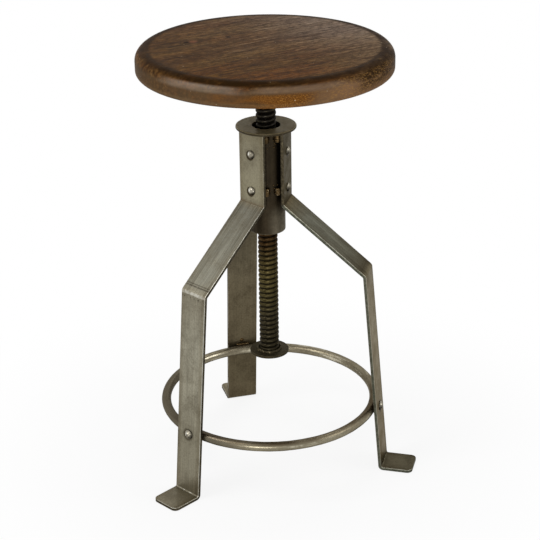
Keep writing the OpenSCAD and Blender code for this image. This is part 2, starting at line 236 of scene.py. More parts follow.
def piece(name, material, grids, maps=None, masks=None):
    """One object from grids of points. Neighbours in a grid make four-sided faces, points that meet
    become one, and faces are turned outwards. maps has each grid's place on the unrolled surface,
    and masks has named values from 0 to 1 for each grid's points."""
    points = np.concatenate([g.reshape(-1, 3) for g in grids])
    quads, first = [], 0
    for g in grids:
        k = first + np.arange(g.shape[0] * g.shape[1]).reshape(g.shape[:2])
        quads.append(np.stack([k[:-1, :-1], k[1:, :-1], k[1:, 1:], k[:-1, 1:]], -1).reshape(-1, 4))
        first += k.size
    quads = np.concatenate(quads)
    mesh = bpy.data.meshes.new(name)
    mesh.from_pydata(points.tolist(), [], quads.tolist())
    if maps:
        flat = np.concatenate([m.reshape(-1, 2) for m in maps])[quads.reshape(-1)]
        mesh.uv_layers.new(name="unrolled").data.foreach_set("uv", flat.astype(np.float32).ravel())
    for mask, parts in (masks or {}).items():
        values = np.concatenate([np.asarray(p, float).ravel() for p in parts]).astype(np.float32)
        mesh.attributes.new(mask, "FLOAT", "POINT").data.foreach_set("value", values)
    work = bmesh.new()
    work.from_mesh(mesh)
    bmesh.ops.remove_doubles(work, verts=work.verts, dist=2e-7)
    bmesh.ops.recalc_face_normals(work, faces=work.faces)
    work.to_mesh(mesh)
    work.free()
    mesh.polygons.foreach_set("use_smooth", np.ones(len(mesh.polygons), bool))
    mesh.materials.append(material)
    made = bpy.data.objects.new(name, mesh)
    bpy.context.scene.collection.objects.link(made)
    return made


def seen(red, green, blue):
    """A colour from its screen values, 0 to 255, as the linear colour that a shader takes."""
    part = np.array([red, green, blue]) / 255.0
    return (*np.where(part <= 0.04045, part / 12.92, ((part + 0.055) / 1.055) ** 2.4).tolist(), 1.0)


def tint(amount, under, over, way="MIX"):
    """The colour over laid on the colour under, by amount. MULTIPLY lays it on as a clear glaze."""
    return place(linked(amount, under, over), "Mix", {0: amount, 6: under, 7: over}, data_type="RGBA",
                 blend_type=way).outputs[2]


def scaled(value, by, plus):
    """The value times by, plus plus."""
    return calc("MULTIPLY_ADD", value, by, plus)


def less(value, other):
    """The value less the other."""
    return calc("SUBTRACT", value, other)


def part_of(vector, axis):
    """The X, Y or Z of a vector."""
    return place(vector, "SeparateXYZ", {0: vector}).outputs[axis]


def feed(node, label, value):
    """Links a value or a colour to a node's input."""
    node.id_data.links.new(value, node.inputs[label])


def clouds(where, scale, detail=4.0, rough=0.55, warp=0.0):
    """Smooth random values round 0.5, in clouds of about 1 / scale."""
    return place(where, "TexNoise", {"Vector": where, "Scale": scale, "Detail": detail, "Roughness": rough,
                                     "Distortion": warp}).outputs[0]


# Worn steel is one effect with many settings: stains in clouds, fine streaks along the grain, small
# pits, and bright metal for rubbed edges and for the painted highlights that some materials feed in. Each
# material gives it its own colours and amounts.
worn_steel = bpy.data.node_groups.new("worn_steel", "ShaderNodeTree")
for label, kind, start in [
        ("Place", "Vector", None), ("Grain", "Vector", None), ("Steel", "Color", (0.2, 0.19, 0.17, 1)),
        ("Stain", "Color", (0.08, 0.06, 0.04, 1)), ("Bright", "Color", (0.5, 0.48, 0.44, 1)),
        ("Stains", "Float", 0.6), ("Streaks", "Float", 0.3), ("Pits", "Float", 0.3), ("Wear_And_Sheen", "Float", 0.0),
        ("Dullness", "Float", 0.42), ("Cloud Size", "Float", 1.0)]:
    socket = worn_steel.interface.new_socket(name=label, in_out="INPUT", socket_type="NodeSocket" + kind)
    if start is not None:
        socket.default_value = start
given = worn_steel.nodes.new("NodeGroupInput").outputs
near = arrow("ADD", given["Place"], (0.31, 0.17, 0.23))
sized = arrow("SCALE", near, scale=given["Cloud Size"])
small = ease(clouds(sized, 280.0, 3.0, 0.6), 0.33, 0.7)
cloud = scaled(small, 0.45, times(ease(clouds(sized, 24.0, 5.0, 0.62, 0.4), 0.36, 0.68), 0.65))
swing = times(less(clouds(given["Grain"], 1.0, 4.0, 0.65), 0.5), given["Streaks"])
holes = times(ease(clouds(near, 620.0, 2.0, 0.5), 0.66, 0.74), given["Pits"])
rub_and_sheen = ease(scaled(clouds(near, 210.0, 3.0, 0.6), 0.6, less(given["Wear_And_Sheen"], 0.3)), 0.25, 0.75)

colour = tint(times(cloud, given["Stains"]), given["Steel"], given["Stain"])
colour = tint(holes, arrow("SCALE", colour, scale=scaled(swing, 3.2, 1.0)), given["Stain"])
colour = tint(rub_and_sheen, colour, given["Bright"])
dull = scaled(rub_and_sheen, -0.1, scaled(less(cloud, 0.5), 0.22, given["Dullness"]))
raised = scaled(swing, 1.2, times(holes, -0.6))
results = {"Color": colour, "Roughness": scaled(holes, 0.2, dull), "Height": scaled(small, 0.35, raised)}
for label in results:
    kind = "NodeSocketColor" if label == "Color" else "NodeSocketFloat"
    worn_steel.interface.new_socket(name=label, in_out="OUTPUT", socket_type=kind)
leaves = worn_steel.nodes.new("NodeGroupOutput")
for label, value in results.items():
    feed(leaves, label, value)


def steel_material(name, steel, stain, bright, grain, bump, metal=0.9, shine=0.5, unrolled=False,
                   **amounts):
    """A worn steel. grain stretches the streaks: a small number runs along the grain. Returns the
    material and the nodes of the effect and the shader, for the piece to add to."""
    made = bpy.data.materials.new(name)
    tree = emptied(made)
    spot = own_place(tree)
    along = place(tree, "UVMap", uv_map="unrolled").outputs[0] if unrolled else spot
    effect = place(tree, "Group", {"Place": spot, "Grain": arrow("MULTIPLY", along, grain), "Steel": steel,
                                   "Stain": stain, "Bright": bright}, node_tree=worn_steel)
    for label, value in amounts.items():
        effect.inputs[label.replace("_", " ").title()].default_value = value
    relief = place(tree, "Bump", {"Strength": bump, "Distance": 0.0004, "Height": effect.outputs["Height"]})
    shader = place(tree, "BsdfPrincipled", {
        "Base Color": effect.outputs["Color"], "Metallic": metal, "Roughness": effect.outputs["Roughness"],
        "Normal": relief.outputs[0], "Specular IOR Level": shine, "Specular Tint": (0.50, 0.485, 0.455, 1.0)})
    place(tree, "OutputMaterial", {"Surface": shader.outputs[0]})
    return made, effect, shader


tube_scale, effect, shader = steel_material(
    "tube_scale", seen(62, 54, 40), seen(38, 31, 21), seen(118, 110, 90), grain=(420, 420, 14), bump=0.2,
    metal=0.55, shine=0.15, stains=0.6, streaks=0.14, pits=0.5, dullness=0.44)
spot = own_place(effect)
height = part_of(spot, "Z")
# Low on its right half, below the legs, the tube is painted lighter: a painted highlight.
free_end_painted_highlight = times(ease(height, 0.405, 0.378), ease(part_of(spot, "X"), -0.009, 0.010))
feed(effect, "Steel", tint(free_end_painted_highlight, seen(54, 46, 33), seen(114, 106, 89)))
feed(effect, "Stain", tint(free_end_painted_highlight, seen(38, 31, 21), seen(76, 69, 55)))
feed(effect, "Wear_And_Sheen", ease(height, tube_low + 0.004, tube_low, 0.0, 0.5))

# The tube is painted near black beside the legs: painted shade between the tube and the legs. Each row
# has a leg's direction, how close to it the shade starts and how dark it is.
painted_nook_shade = 0.0
for direction, start, shade_depth in [(210, 0.50, 0.30), (330, 0.68, 1.0), (90, 0.50, 0.6)]:
    way = (math.cos(math.radians(direction)) / tube_r, math.sin(math.radians(direction)) / tube_r, 0)
    painted_nook_shade = most(painted_nook_shade, ease(arrow("DOT_PRODUCT", spot, way), start, start + 0.1, 0.0, shade_depth))
painted_nook_shade = times(painted_nook_shade, ease(height, 0.402, 0.416, 0.0, 0.9))
feed(shader, "Base Color", tint(painted_nook_shade, effect.outputs["Color"], seen(15, 12, 8)))

hub_tube = piece("hub_tube_turned", tube_scale, [turned(softened(
    block(tube_r - tube_wall, tube_r, tube_low, tube_high), [0.0006, 0.0018, 0.0004, 0.0004], ring=True))])
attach(hub_tube, "frame")
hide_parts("hub_tube")


# Nut.
# A long hexagon nut pressed and welded into the tube, out of sight, in which the screw turns.
# Its CAD solid has the thread and stays; it gets greasy dark steel.
nut_steel, _, _ = steel_material(
    "nut_steel", seen(84, 76, 62), seen(36, 30, 22), seen(150, 140, 120), grain=(60, 60, 400), bump=0.3,
    stains=0.8, streaks=0.25, pits=0.4, dullness=0.38)
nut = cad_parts["spindle_nut"]
nut.data.materials.clear()
nut.data.materials.append(nut_steel)


# Flange.
# A thick washer, welded on top of the tube as the hub's rim. It is olive brown from oil and heat, and
# its edges are worn a little lighter.
flange_r, flange_hole_r, flange_low, flange_high = 0.042, 0.01975, 0.508, 0.512
flange_oxide, effect, shader = steel_material(
    "flange_oxide", seen(160, 148, 114), seen(128, 118, 88), seen(166, 156, 128), grain=(240, 240, 240),
    bump=0.3, metal=0.35, shine=0.15, stains=0.6, streaks=0.16, pits=0.45, dullness=0.46)
up = part_of(place(effect, "NewGeometry").outputs["Normal"], "Z")
feed(effect, "Wear_And_Sheen", times(ease(up, 0.35, 0.7), ease(up, 0.985, 0.93), 0.40))
# Its sides and underside are painted dark: painted shade.
feed(shader, "Base Color", tint(ease(up, 0.72, 0.3, 0.0, 0.94), effect.outputs["Color"], seen(44, 36, 23)))

flange = piece("hub_flange_turned", flange_oxide, [turned(softened(
    block(flange_hole_r, flange_r, flange_low, flange_high), [0.0005, 0.0014, 0.0016, 0.0008], ring=True),
    sides=128)])
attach(flange, "frame")
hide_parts("hub_flange")


# Legs.
# Three lengths of 46 x 4.5 mm flat bar, cold bent at the shoulder, the knee and the heel, with round
# toe corners. The faces are brushed and waxed; the narrow sides keep their dark mill scale.
bar_w, bar_t, bend_r, top_r, toe_r, arris_r = 0.046, 0.0045, 0.0025, 0.0012, 0.008, 0.0006
hair = 0.00005  # the gap that keeps pieces that touch from sharing a face
shoulder_z, knee_out, knee_z, heel_out, toe_out = 0.404, 0.146, 0.307, 0.172, 0.2165
bar_corners = np.array([(tube_r + hair + bar_t, tube_high), (tube_r + hair + bar_t, shoulder_z),
                        (knee_out, knee_z), (heel_out, bar_t), (toe_out, bar_t)])
# Each leg's direction in degrees, and which side of it, +1 or -1, is towards the stool's front.
legs = {"front_left": (210, 1.0), "front_right": (330, -1.0), "back": (90, 0.0)}


def bent_line(corners, thick, inside_r, spacing=0.005, bend_steps=10):
    """The line of the bar's outer face, the inner face's points across from it, the length along the
    bar to each, and the lengths to the middles of the bends. Stretches between bends are straight; in
    a bend both faces turn by equal angles about one centre on the corner's bisector."""
    outer, inner, bends = [corners[:1]], [], []

    def straight(end_out, end_in, share_end):
        """Both faces in even steps from where they are to the next bend or to the end."""
        steps = max(2, int(np.linalg.norm(end_out - outer[-1][-1]) / spacing))
        share = np.linspace(0, 1, steps + 1)[1:share_end, None]
        return (outer[-1][-1] + share * (end_out - outer[-1][-1]),
                inner[-1][-1] + share * (end_in - inner[-1][-1]))

    for k in range(1, len(corners) - 1):
        into, away = corners[k] - corners[k - 1], corners[k + 1] - corners[k]
        n1 = np.array([-into[1], into[0]]) / np.linalg.norm(into)
        n2 = np.array([-away[1], away[0]]) / np.linalg.norm(away)
        if k == 1:
            inner.append(corners[:1] - thick * n1)
        cross = n1[0] * n2[1] - n1[1] * n2[0]
        side = np.sign(cross)
        arc_r = inside_r if side > 0 else inside_r + thick
        centre = corners[k] + side * arc_r * (n1 + n2) / (1 + n1 @ n2)
        a = math.atan2(n1[1], n1[0]) + math.atan2(cross, n1 @ n2) * np.linspace(0, 1, bend_steps + 1)
        ray = np.stack([np.cos(a), np.sin(a)], 1)
        arc_out, arc_in = centre - side * arc_r * ray, centre - (side * arc_r + thick) * ray
        flat_out, flat_in = straight(arc_out[0], arc_in[0], -1)
        outer += [flat_out, arc_out]
        inner += [flat_in, arc_in]
        bends.append(sum(len(part) for part in outer) - bend_steps // 2 - 1)
    flat_out, flat_in = straight(corners[-1], corners[-1] - thick * n2, None)
    outer, inner = np.concatenate([*outer, flat_out]), np.concatenate([*inner, flat_in])
    middle = (outer + inner) / 2
    length = np.concatenate([[0], np.cumsum(np.linalg.norm(np.diff(middle, axis=0), axis=1))])
    return outer, inner, length, [float(length[b]) for b in bends]


def flat_bar(corners, width, thick, inside_r, arris, end_r, far_r, end_steps=8):
    """The bent bar. Its section is a rectangle with its corners rounded by arris, carried along the
    bent line. At each end it follows the end's round corners: at angle p round a corner of radius R a
    point that lies d inside the outline is at (R - d) sin p along and half - R + (R - d) cos p across."""
    corners = corners.copy()
    start, last = corners[1] - corners[0], corners[-1] - corners[-2]
    start, last = start / np.linalg.norm(start), last / np.linalg.norm(last)
    corners[0] += start * end_r
    corners[-1] -= last * far_r
    outer, inner, length, bends = bent_line(corners, thick, inside_r)
    quarter = np.linspace(0, math.pi / 2, end_steps + 1)[1:]
    rows = len(outer)
    index = np.concatenate([np.zeros(end_steps, int), np.arange(rows), np.full(end_steps, rows - 1)])
    angle = np.concatenate([-quarter[::-1], np.zeros(rows), quarter])
    corner_r = np.where(angle < 0, end_r, far_r)[:, None]

    across = np.array([1, 0.985, 0.95, 0.85, 0.65, 0.4, 0.15, -0.15, -0.4, -0.65, -0.85, -0.95, -0.985, -1])
    turn = np.linspace(0, math.pi / 2, 5)
    inwards, upwards = arris * (1 - np.sin(turn)), arris * (1 - np.cos(turn))
    edge_d = np.concatenate([inwards, [0.0], inwards[::-1]])
    edge_h = np.concatenate([upwards, [thick / 2], thick - upwards[::-1]])
    arris_rub_and_highlight = np.array([0.55, 1, 1, 1, 0.55, 0, 0.55, 1, 1, 1, 0.55])
    wall = np.array([0, 0, 0.3, 0.7, 1, 1, 1, 0.7, 0.3, 0, 0])
    n, m = len(across), len(edge_d)

    def round_section(outer_face, wall_down, inner_face, wall_up):
        """One value for each point round the section, from its two faces and its two narrow sides."""
        return np.concatenate([outer_face, wall_down[1:-1], inner_face, wall_up[-2:0:-1], outer_face[:1]])

    f = round_section(across, np.full(m, -1.0), across[::-1], np.full(m, 1.0))
    d = round_section(np.full(n, arris), edge_d, np.full(n, arris), edge_d)
    h = round_section(np.zeros(n), edge_h, np.full(n, thick), edge_h)
    near_edge = np.interp(np.abs(across), [0.95, 0.985, 1.0], [0, 0.55, 0.75])
    arris_wear_and_highlight = round_section(near_edge, arris_rub_and_highlight, near_edge[::-1], arris_rub_and_highlight)
    side = round_section(np.zeros(n), wall, np.zeros(n), wall)
    back = round_section(np.zeros(n), np.linspace(0, 1, m), np.ones(n), np.linspace(0, 1, m))

    half = width / 2 - corner_r + (corner_r - d) * np.cos(angle)[:, None]
    along = (corner_r - d) * np.sin(angle)[:, None]
    lean = np.where(angle[:, None, None] < 0, start, last)
    flat = outer[index][:, None] + (inner - outer)[index][:, None] * (h / thick)[None, :, None]
    flat = flat + along[..., None] * lean
    step = np.concatenate([[0], np.hypot(np.diff(f * (width / 2 - d)), np.diff(h))])
    grids = [np.stack([flat[..., 0], f * half, flat[..., 1]], -1)]
    maps = [np.stack([length[index][:, None] + along, np.cumsum(step) - width / 2 + 0 * along], -1)]
    masks = {"arris_wear_and_highlight": [arris_wear_and_highlight + 0 * along], "side": [side + 0 * along], "back": [back + 0 * along],
             "hand": [(f > 0) + 0 * along]}
    end_masks = {"arris_wear_and_highlight": arris_rub_and_highlight, "side": wall, "back": np.linspace(0, 1, m), "hand": np.full(m, 0.5)}
    for at, way, radius, flow in [(0, -1, end_r, start), (rows - 1, 1, far_r, last)]:
        run = way * (radius - edge_d)[:, None] + 0 * across
        flat = outer[at] + (inner - outer)[at] * (edge_h / thick)[:, None, None] + run[..., None] * flow
        wide = across * (width / 2 - radius) + 0 * run
        grids.append(np.stack([flat[..., 0], wide, flat[..., 1]], -1))
        maps.append(np.stack([length[at] + run + way * edge_h[:, None], wide], -1))
        for mask, value in end_masks.items():
            masks[mask].append(value[:, None] + 0 * run)
    return grids, maps, masks, bends, np.stack([outer[:, 1], length])


def turned_to(points, direction):
    """Points from a leg's own frame, where +X runs outwards, turned to that leg's direction."""
    a = math.radians(direction)
    return points @ np.array([(math.cos(a), math.sin(a), 0), (-math.sin(a), math.cos(a), 0), (0, 0, 1)])


bar_grids, bar_maps, bar_masks, (shoulder_at, knee_at, heel_at), line = flat_bar(
    bar_corners, bar_w, bar_t, bend_r, arris_r, top_r, toe_r)
foot_end = float(line[1, -1])
hub_rivet_heights, hub_head_r = (0.476, 0.423), 0.0062
ring_z, ring_head_r = 0.0935, 0.0067
ring_rivet_at = float(np.interp(-ring_z - 0.0005, -line[0], line[1]))


def painted(home, mask):
    """One of the piece's own masks."""
    return place(home, "Attribute", attribute_name=mask).outputs["Fac"]


def drawn_clouds(where, scale, detail=4.0, rough=0.6):
    """Clouds drawn out along the small numbers of scale."""
    return clouds(arrow("MULTIPLY", where, scale), 1.0, detail, rough)


def ramp(value, stops, way="EASE"):
    """A colour that runs from one to the next of the (value, colour) stops."""
    made = place(value, "ValToRGB", {0: value})
    elements = made.color_ramp.elements
    made.color_ramp.interpolation = way
    elements.remove(elements[1])
    for k, (at, shade) in enumerate(stops):
        stop = elements[0] if k == 0 else elements.new(at)
        stop.position, stop.color = at, shade
    return made.outputs[0]


leg_steel, effect, shader = steel_material(
    "leg_steel", seen(138, 133, 118), seen(88, 80, 64), seen(196, 193, 181), grain=(14, 520, 1), bump=0.2,
    unrolled=True, stains=0.55, pits=0.9, dullness=0.40, cloud_size=1.4)
unrolled = place(effect, "UVMap", uv_map="unrolled").outputs[0]
run, across = part_of(unrolled, "X"), part_of(unrolled, "Y")
spot = own_place(effect)
ragged = clouds(spot, 260.0, 3.0, 0.6)
arris_wear_and_highlight, side, back, front, hand = [painted(effect, mask) for mask in ("arris_wear_and_highlight", "side", "back", "front", "hand")]
outer_face = less(1.0, back)


def by_length(*stops):
    """A colour for each length along the bar, from (length, colour) stops."""
    return ramp(calc("DIVIDE", run, foot_end), [(at / foot_end, shade) for at, shade in stops])


def line_across(at, half, soft):
    """1 on a line across the bar at a length along it, fading to 0 within soft of half its width."""
    return ease(calc("ABSOLUTE", less(run, at)), half, half + soft, 1.0, 0.0)


def spot_round(across, at, radius, fade):
    """1 within a radius of the point on the bar's middle at a length along it, fading to 0 over fade."""
    far = arrow("LENGTH", place(across, "CombineXYZ", {0: less(run, at), 1: across}).outputs[0])
    return ease(far, radius, radius + fade, 1.0, 0.0)


# The steel's colour changes along the bar; the darker slope below the shoulder is painted shade.
feed(effect, "Steel", by_length(
    (0.0, seen(128, 121, 99)), (0.03, seen(139, 133, 112)), (shoulder_at - 0.012, seen(144, 138, 115)),
    (shoulder_at, seen(130, 123, 104)), (shoulder_at + 0.012, seen(123, 121, 109)),
    (knee_at - 0.02, seen(132, 130, 117)), (knee_at + 0.006, seen(142, 137, 120)),
    (knee_at + 0.08, seen(155, 151, 134)), (heel_at - 0.05, seen(136, 131, 113)),
    (heel_at, seen(138, 132, 114)), (foot_end, seen(144, 137, 118))))
brushed = times(ease(run, shoulder_at - 0.003, shoulder_at + 0.002, 0.10, 0.54),
                ease(run, knee_at - 0.002, knee_at + 0.01, 1.0, 0.55),
                ease(run, heel_at - 0.01, heel_at + 0.01, 1.0, 0.6), ease(back, 0.0, 1.0, 1.0, 0.55))
feed(effect, "Streaks", brushed)

# The knees, the heels and the edges are painted bright: partly wear and partly a painted highlight, with
# the knee weaker on the leg at the front right.
knee_wear_and_highlight = times(line_across(knee_at + 0.0012, 0.0006, 0.0030), ease(ragged, 0.30, 0.62, 0.42, 0.66),
                 outer_face, ease(front, -1.0, 0.0, 0.3, 1.0))
heel_wear_and_highlight = times(line_across(heel_at - 0.0008, 0.0003, 0.0011), ease(ragged, 0.45, 0.58, 0.0, 0.7))
edge_wear_and_highlight = times(arris_wear_and_highlight, ease(hand, 0.0, 1.0, 0.26, 1.0),
                 ease(clouds(spot, 55.0, 3.0, 0.6), 0.35, 0.6, 0.6, 1.0),
                 ease(run, shoulder_at - 0.006, shoulder_at + 0.002, 0.45, 1.0))
feed(effect, "Wear_And_Sheen", most(knee_wear_and_highlight, heel_wear_and_highlight, edge_wear_and_highlight))

# Creases and specks at the bends, and bands across the brushing.
marks = times(line_across(shoulder_at, 0.0003, 0.0012), 0.62)
for at, half, soft, depth in [(knee_at - 0.0120, 0.0003, 0.0010, 0.62),
                              (knee_at - 0.0088, 0.0004, 0.0013, 0.75),
                              (heel_at + 0.0018, 0.0006, 0.003, 0.45)]:
    marks = most(marks, times(line_across(at, half, soft), ease(ragged, 0.3, 0.6, 0.3, depth),
                              ease(front, -1.0, 0.0, 0.35, 1.0)))
marks = most(marks, times(line_across(knee_at + 0.0066, 0.0010, 0.0014),
                          ease(clouds(spot, 430.0, 2.0), 0.54, 0.62, 0.0, 0.8), outer_face))
near_side = ease(calc("ABSOLUTE", across), 0.012, 0.0215, 0.0, 0.34)
bare_bands = times(ease(drawn_clouds(unrolled, (5, 130, 1), 3.0), 0.56, 0.36), brushed, 0.6)
fold_rust = times(line_across(shoulder_at - 0.0012, 0.0006, 0.0026), outer_face,
                  ease(ragged, 0.35, 0.6, 0.05, 0.28))
shade = tint(near_side, effect.outputs["Color"], seen(176, 160, 134), "MULTIPLY")
shade = tint(bare_bands, shade, seen(150, 140, 122), "MULTIPLY")
shade = tint(fold_rust, shade, seen(120, 92, 58))
shade = tint(marks, shade, seen(42, 36, 27))

# A dark ring round each rivet head, partly packed dirt and partly the head's painted shadow, lies a
# little to the side that is away from the front.
off_middle = scaled(front, -0.0019, across)
dirt_and_shadow = 0.0
for at, wide, fade, depth in [(tube_high - hub_rivet_heights[0], hub_head_r + 0.0001, 0.0018, 0.95),
                              (tube_high - hub_rivet_heights[1], hub_head_r + 0.0001, 0.0018, 0.95),
                              (ring_rivet_at, ring_head_r - 0.0012, 0.0062, 0.86)]:
    dirt_and_shadow = most(dirt_and_shadow, times(spot_round(off_middle, at + 0.0008, wide, fade), depth))
shade = tint(times(dirt_and_shadow, outer_face), shade, seen(52, 43, 29))

# The inner face is painted darker and browner, most past the knee, and the leg at the front right is
# painted darker at the hub and the bends: both are painted shade.
inner_face_painted_shade = tint(ease(run, knee_at + 0.02, knee_at + 0.12), seen(206, 200, 188), seen(190, 180, 163))
shade = tint(times(back, 0.9), shade, inner_face_painted_shade, "MULTIPLY")
front_right_painted_shade = by_length(
    (0.0, seen(146, 140, 122)), (shoulder_at, seen(148, 141, 122)),
    (shoulder_at + 0.004, seen(220, 211, 192)), (shoulder_at + 0.045, seen(233, 237, 236)),
    (knee_at - 0.040, seen(205, 206, 201)), (knee_at - 0.006, seen(160, 153, 140)),
    (knee_at + 0.002, seen(232, 224, 208)), (knee_at + 0.03, seen(250, 241, 224)),
    (heel_at - 0.02, seen(246, 232, 208)), (heel_at + 0.004, seen(166, 162, 152)),
    (foot_end, seen(160, 158, 150)))
shade = tint(ease(front, 0.0, -1.0), shade, front_right_painted_shade, "MULTIPLY")
# The bright edge lines are painted once more on top: wear and a painted highlight, weaker on the leg at the
# front right.
edge_highlight_line = times(ease(edge_wear_and_highlight, 0.46, 0.8, 0.0, 0.9), ease(front, -1.0, 0.0, 0.5, 1.0))
shade = tint(edge_highlight_line, shade, seen(192, 190, 178))
# The narrow sides keep their dark mill scale; below the hub on the leg at the front right they are painted
# lighter and greener, a painted lit copy of the scale.
dark_skin = tint(ease(ragged, 0.35, 0.7), seen(44, 39, 29), seen(76, 69, 53))
lit_scale_skin = tint(ease(ragged, 0.35, 0.7), seen(62, 64, 53), seen(88, 89, 77))
below_hub = ease(run, shoulder_at - 0.003, shoulder_at + 0.003)
side_scale_lit_and_dark = tint(times(ease(front, 0.0, -1.0), below_hub), dark_skin, lit_scale_skin)
feed(shader, "Base Color", tint(times(side, 0.92), shade, side_scale_lit_and_dark))

# The edge that is painted bright, as wear and a painted highlight, is the one towards the stool's front,
# on the leg's left or right.
for leg, (direction, front_side) in legs.items():
    masks = {**bar_masks, "hand": [0.5 + front_side * (h - 0.5) for h in bar_masks["hand"]],
             "front": [front_side + 0 * h for h in bar_masks["hand"]]}
    grids = [turned_to(g, direction) for g in bar_grids]
    bar = piece("leg_" + leg + "_bent", leg_steel, grids, bar_maps, masks)
    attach(bar, "frame")
    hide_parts("leg_" + leg)


# Hub rivets.
# Two round-head rivets hold each leg to the tube. Their heads were peened over cold. Each head is painted
# darker at its rim, as dirt and painted shade, with a painted shaded crescent and a painted highlight.
hub_head_h, rivet_r = 0.0039, 0.003


def dome(radius, height, lip=0.0003, steps=9):
    """Profile of a round head from its middle to its rim: an arc of a ball, then a small upright lip."""
    ball = (radius ** 2 + (height - lip) ** 2) / (2 * (height - lip))
    a = np.linspace(0, math.asin(min(1.0, radius / ball)), steps)
    arc = np.stack([ball * np.sin(a), height - ball + ball * np.cos(a)], 1)
    return np.concatenate([arc, [(radius, 0.0)]])


def hammered(grid, seed, amount):
    """The grid pushed in and out along its own radius by a slow random wave round its axis."""
    rng = np.random.default_rng(seed)
    a = np.arctan2(grid[..., 1], grid[..., 0])
    wave = sum(rng.uniform(-1, 1) * np.cos(k * a + rng.uniform(0, 6.3)) for k in (2, 3, 5)) * amount
    return grid * np.stack([1 + wave, 1 + wave, np.ones_like(wave)], -1)


def aimed(grid, at, lean=0.0):
    """The grid with its own Z laid along a leg's outward +X, tipped up by lean, and moved to at."""
    c, s = math.cos(lean), math.sin(lean)
    return grid @ np.array([(0.0, 1.0, 0.0), (-s, 0.0, c), (c, 0.0, s)]) + np.array(at)


rivet_steel, effect, shader = steel_material(
    "rivet_steel", seen(160, 155, 140), seen(98, 90, 72), seen(222, 219, 208), grain=(500, 500, 500),
    bump=0.3, stains=0.5, streaks=0.2, pits=0.35, dullness=0.30)
# The rim mask paints the heads darker, as dirt and painted shade, and the other mask paints a highlight.
feed(shader, "Base Color", tint(painted(effect, "rim"), effect.outputs["Color"], seen(26, 21, 15)))
feed(effect, "Wear_And_Sheen", painted(effect, "painted_highlight"))


def head_shade_and_highlight(rim, share, front_side, sides):
    """How dark and how bright a head is painted. It is dark at its rim, as dirt and painted shade, and
    further in on the low side and the side towards the stool's front, a painted shaded crescent; a soft
    painted highlight spot lies across from it. share is each profile point's distance from the axis as a
    share of the head's radius."""
    a = np.linspace(0, math.tau, sides + 1)[None]
    low_side = math.radians(-90 + 52 * front_side)
    inward = 0.28 * max(-front_side, 0)
    reach = np.interp(share, [0.30 - inward, 0.85 - inward], [0, 0.92])[:, None]
    shaded_crescent = np.clip(np.cos(a - low_side), 0, 1) * reach
    x, y = share[:, None] * np.cos(a), share[:, None] * np.sin(a)
    off = np.hypot(x + (0.38 + inward) * math.cos(low_side), y + (0.38 + inward) * math.sin(low_side))
    return np.maximum(rim[:, None], shaded_crescent), np.exp(-(off / 0.42) ** 2)


hub_sides = 32
hub_shank = tube_wall + bar_t + 2 * hair
hub_rivet = np.concatenate([dome(hub_head_r, hub_head_h),
                            [(rivet_r, 0.0), (rivet_r, -hub_shank), (0.0, -hub_shank)]])
# How dark each row of the profile is: not over the dome, and dark from its lip down.
hub_rim = np.interp(np.arange(len(hub_rivet)), [0, 7.4, 9, 20], [0, 0, 0.6, 0.9])
for leg, (direction, front_side) in legs.items():
    heads = []
    for k, z in enumerate(hub_rivet_heights):
        head = hammered(turned(hub_rivet, hub_sides), 10 * k + direction, 0.012)
        heads.append(turned_to(aimed(head, (tube_r + 2 * hair + bar_t, 0, z)), direction))
    dark_rim_and_shade, highlight_spot = head_shade_and_highlight(hub_rim, hub_rivet[:, 0] / hub_head_r, front_side, hub_sides)
    rivets = piece("hub_rivets_" + leg + "_domed", rivet_steel, heads,
                   masks={"rim": [dark_rim_and_shade] * 2, "painted_highlight": [highlight_spot] * 2})
    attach(rivets, "frame")
    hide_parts("hub_rivets_" + leg)


# Hub welds.
# Short runs of arc weld in the nooks between the legs' sides and the tube, under the flange and again
# at the lower rivets. They are lumpy, brown from the heat, with bright spatter on their crowns.
def two_ways(first, rows, second, columns):
    """A grid of two parameters: one from 0 to first down the rows, the other from 0 to second across."""
    return np.meshgrid(np.linspace(0, first, rows), np.linspace(0, second, columns), indexing="ij")


def weld_run(length, wide, high, seed, ripple=0.0019):
    """A weld bead along +Z: an ellipse carried along the run, swelling with each drop of metal
    (the size of a half sine over one ripple), with slow random lumps, and closing in a round end."""
    rng = np.random.default_rng(seed)
    t, a = two_ways(1, 41, math.tau, 25)
    end = np.sqrt(np.clip(1 - np.abs(2 * t - 1) ** 5, 0, 1))
    drops = 0.82 + 0.18 * np.abs(np.sin(math.pi * (t * length / ripple + 0.15 * np.cos(a))))
    lumps = sum(rng.uniform(0.02, 0.09) * np.sin(k * a + rng.uniform(0, 6.3))
                * np.sin(q * t * 6.3 + rng.uniform(0, 6.3)) for k, q in ((1, 2), (2, 3), (3, 5), (4, 8)))
    size = end * (drops + lumps)
    return np.stack([wide * size * np.cos(a), high * size * np.sin(a), (t - 0.5) * length], -1)


def spatter(centres, radii):
    """Small drops of spilt metal: each is a ball, worked out from two angles, at its own centre."""
    up, a = two_ways(math.pi, 7, math.tau, 9)
    ball = round_axis(np.sin(up), a, np.cos(up))
    return [ball * r + c for c, r in zip(centres, radii)]


weld_steel, effect, shader = steel_material(
    "weld_steel", seen(122, 104, 66), seen(46, 35, 22), seen(244, 232, 194), grain=(700, 700, 700), bump=0.6,
    metal=0.95, shine=0.2, stains=0.5, streaks=0.5, pits=0.5, dullness=0.36)
heat = painted(effect, "heat")
feed(effect, "Steel", tint(heat, seen(84, 68, 44), seen(232, 204, 144)))
feed(effect, "Stain", tint(heat, seen(44, 34, 21), seen(128, 102, 60)))
crowns = ease(clouds(own_place(effect), 420.0, 3.0), 0.56, 0.7)
feed(effect, "Wear_And_Sheen", times(crowns, ease(heat, 0.0, 1.0, 0.45, 1.0)))

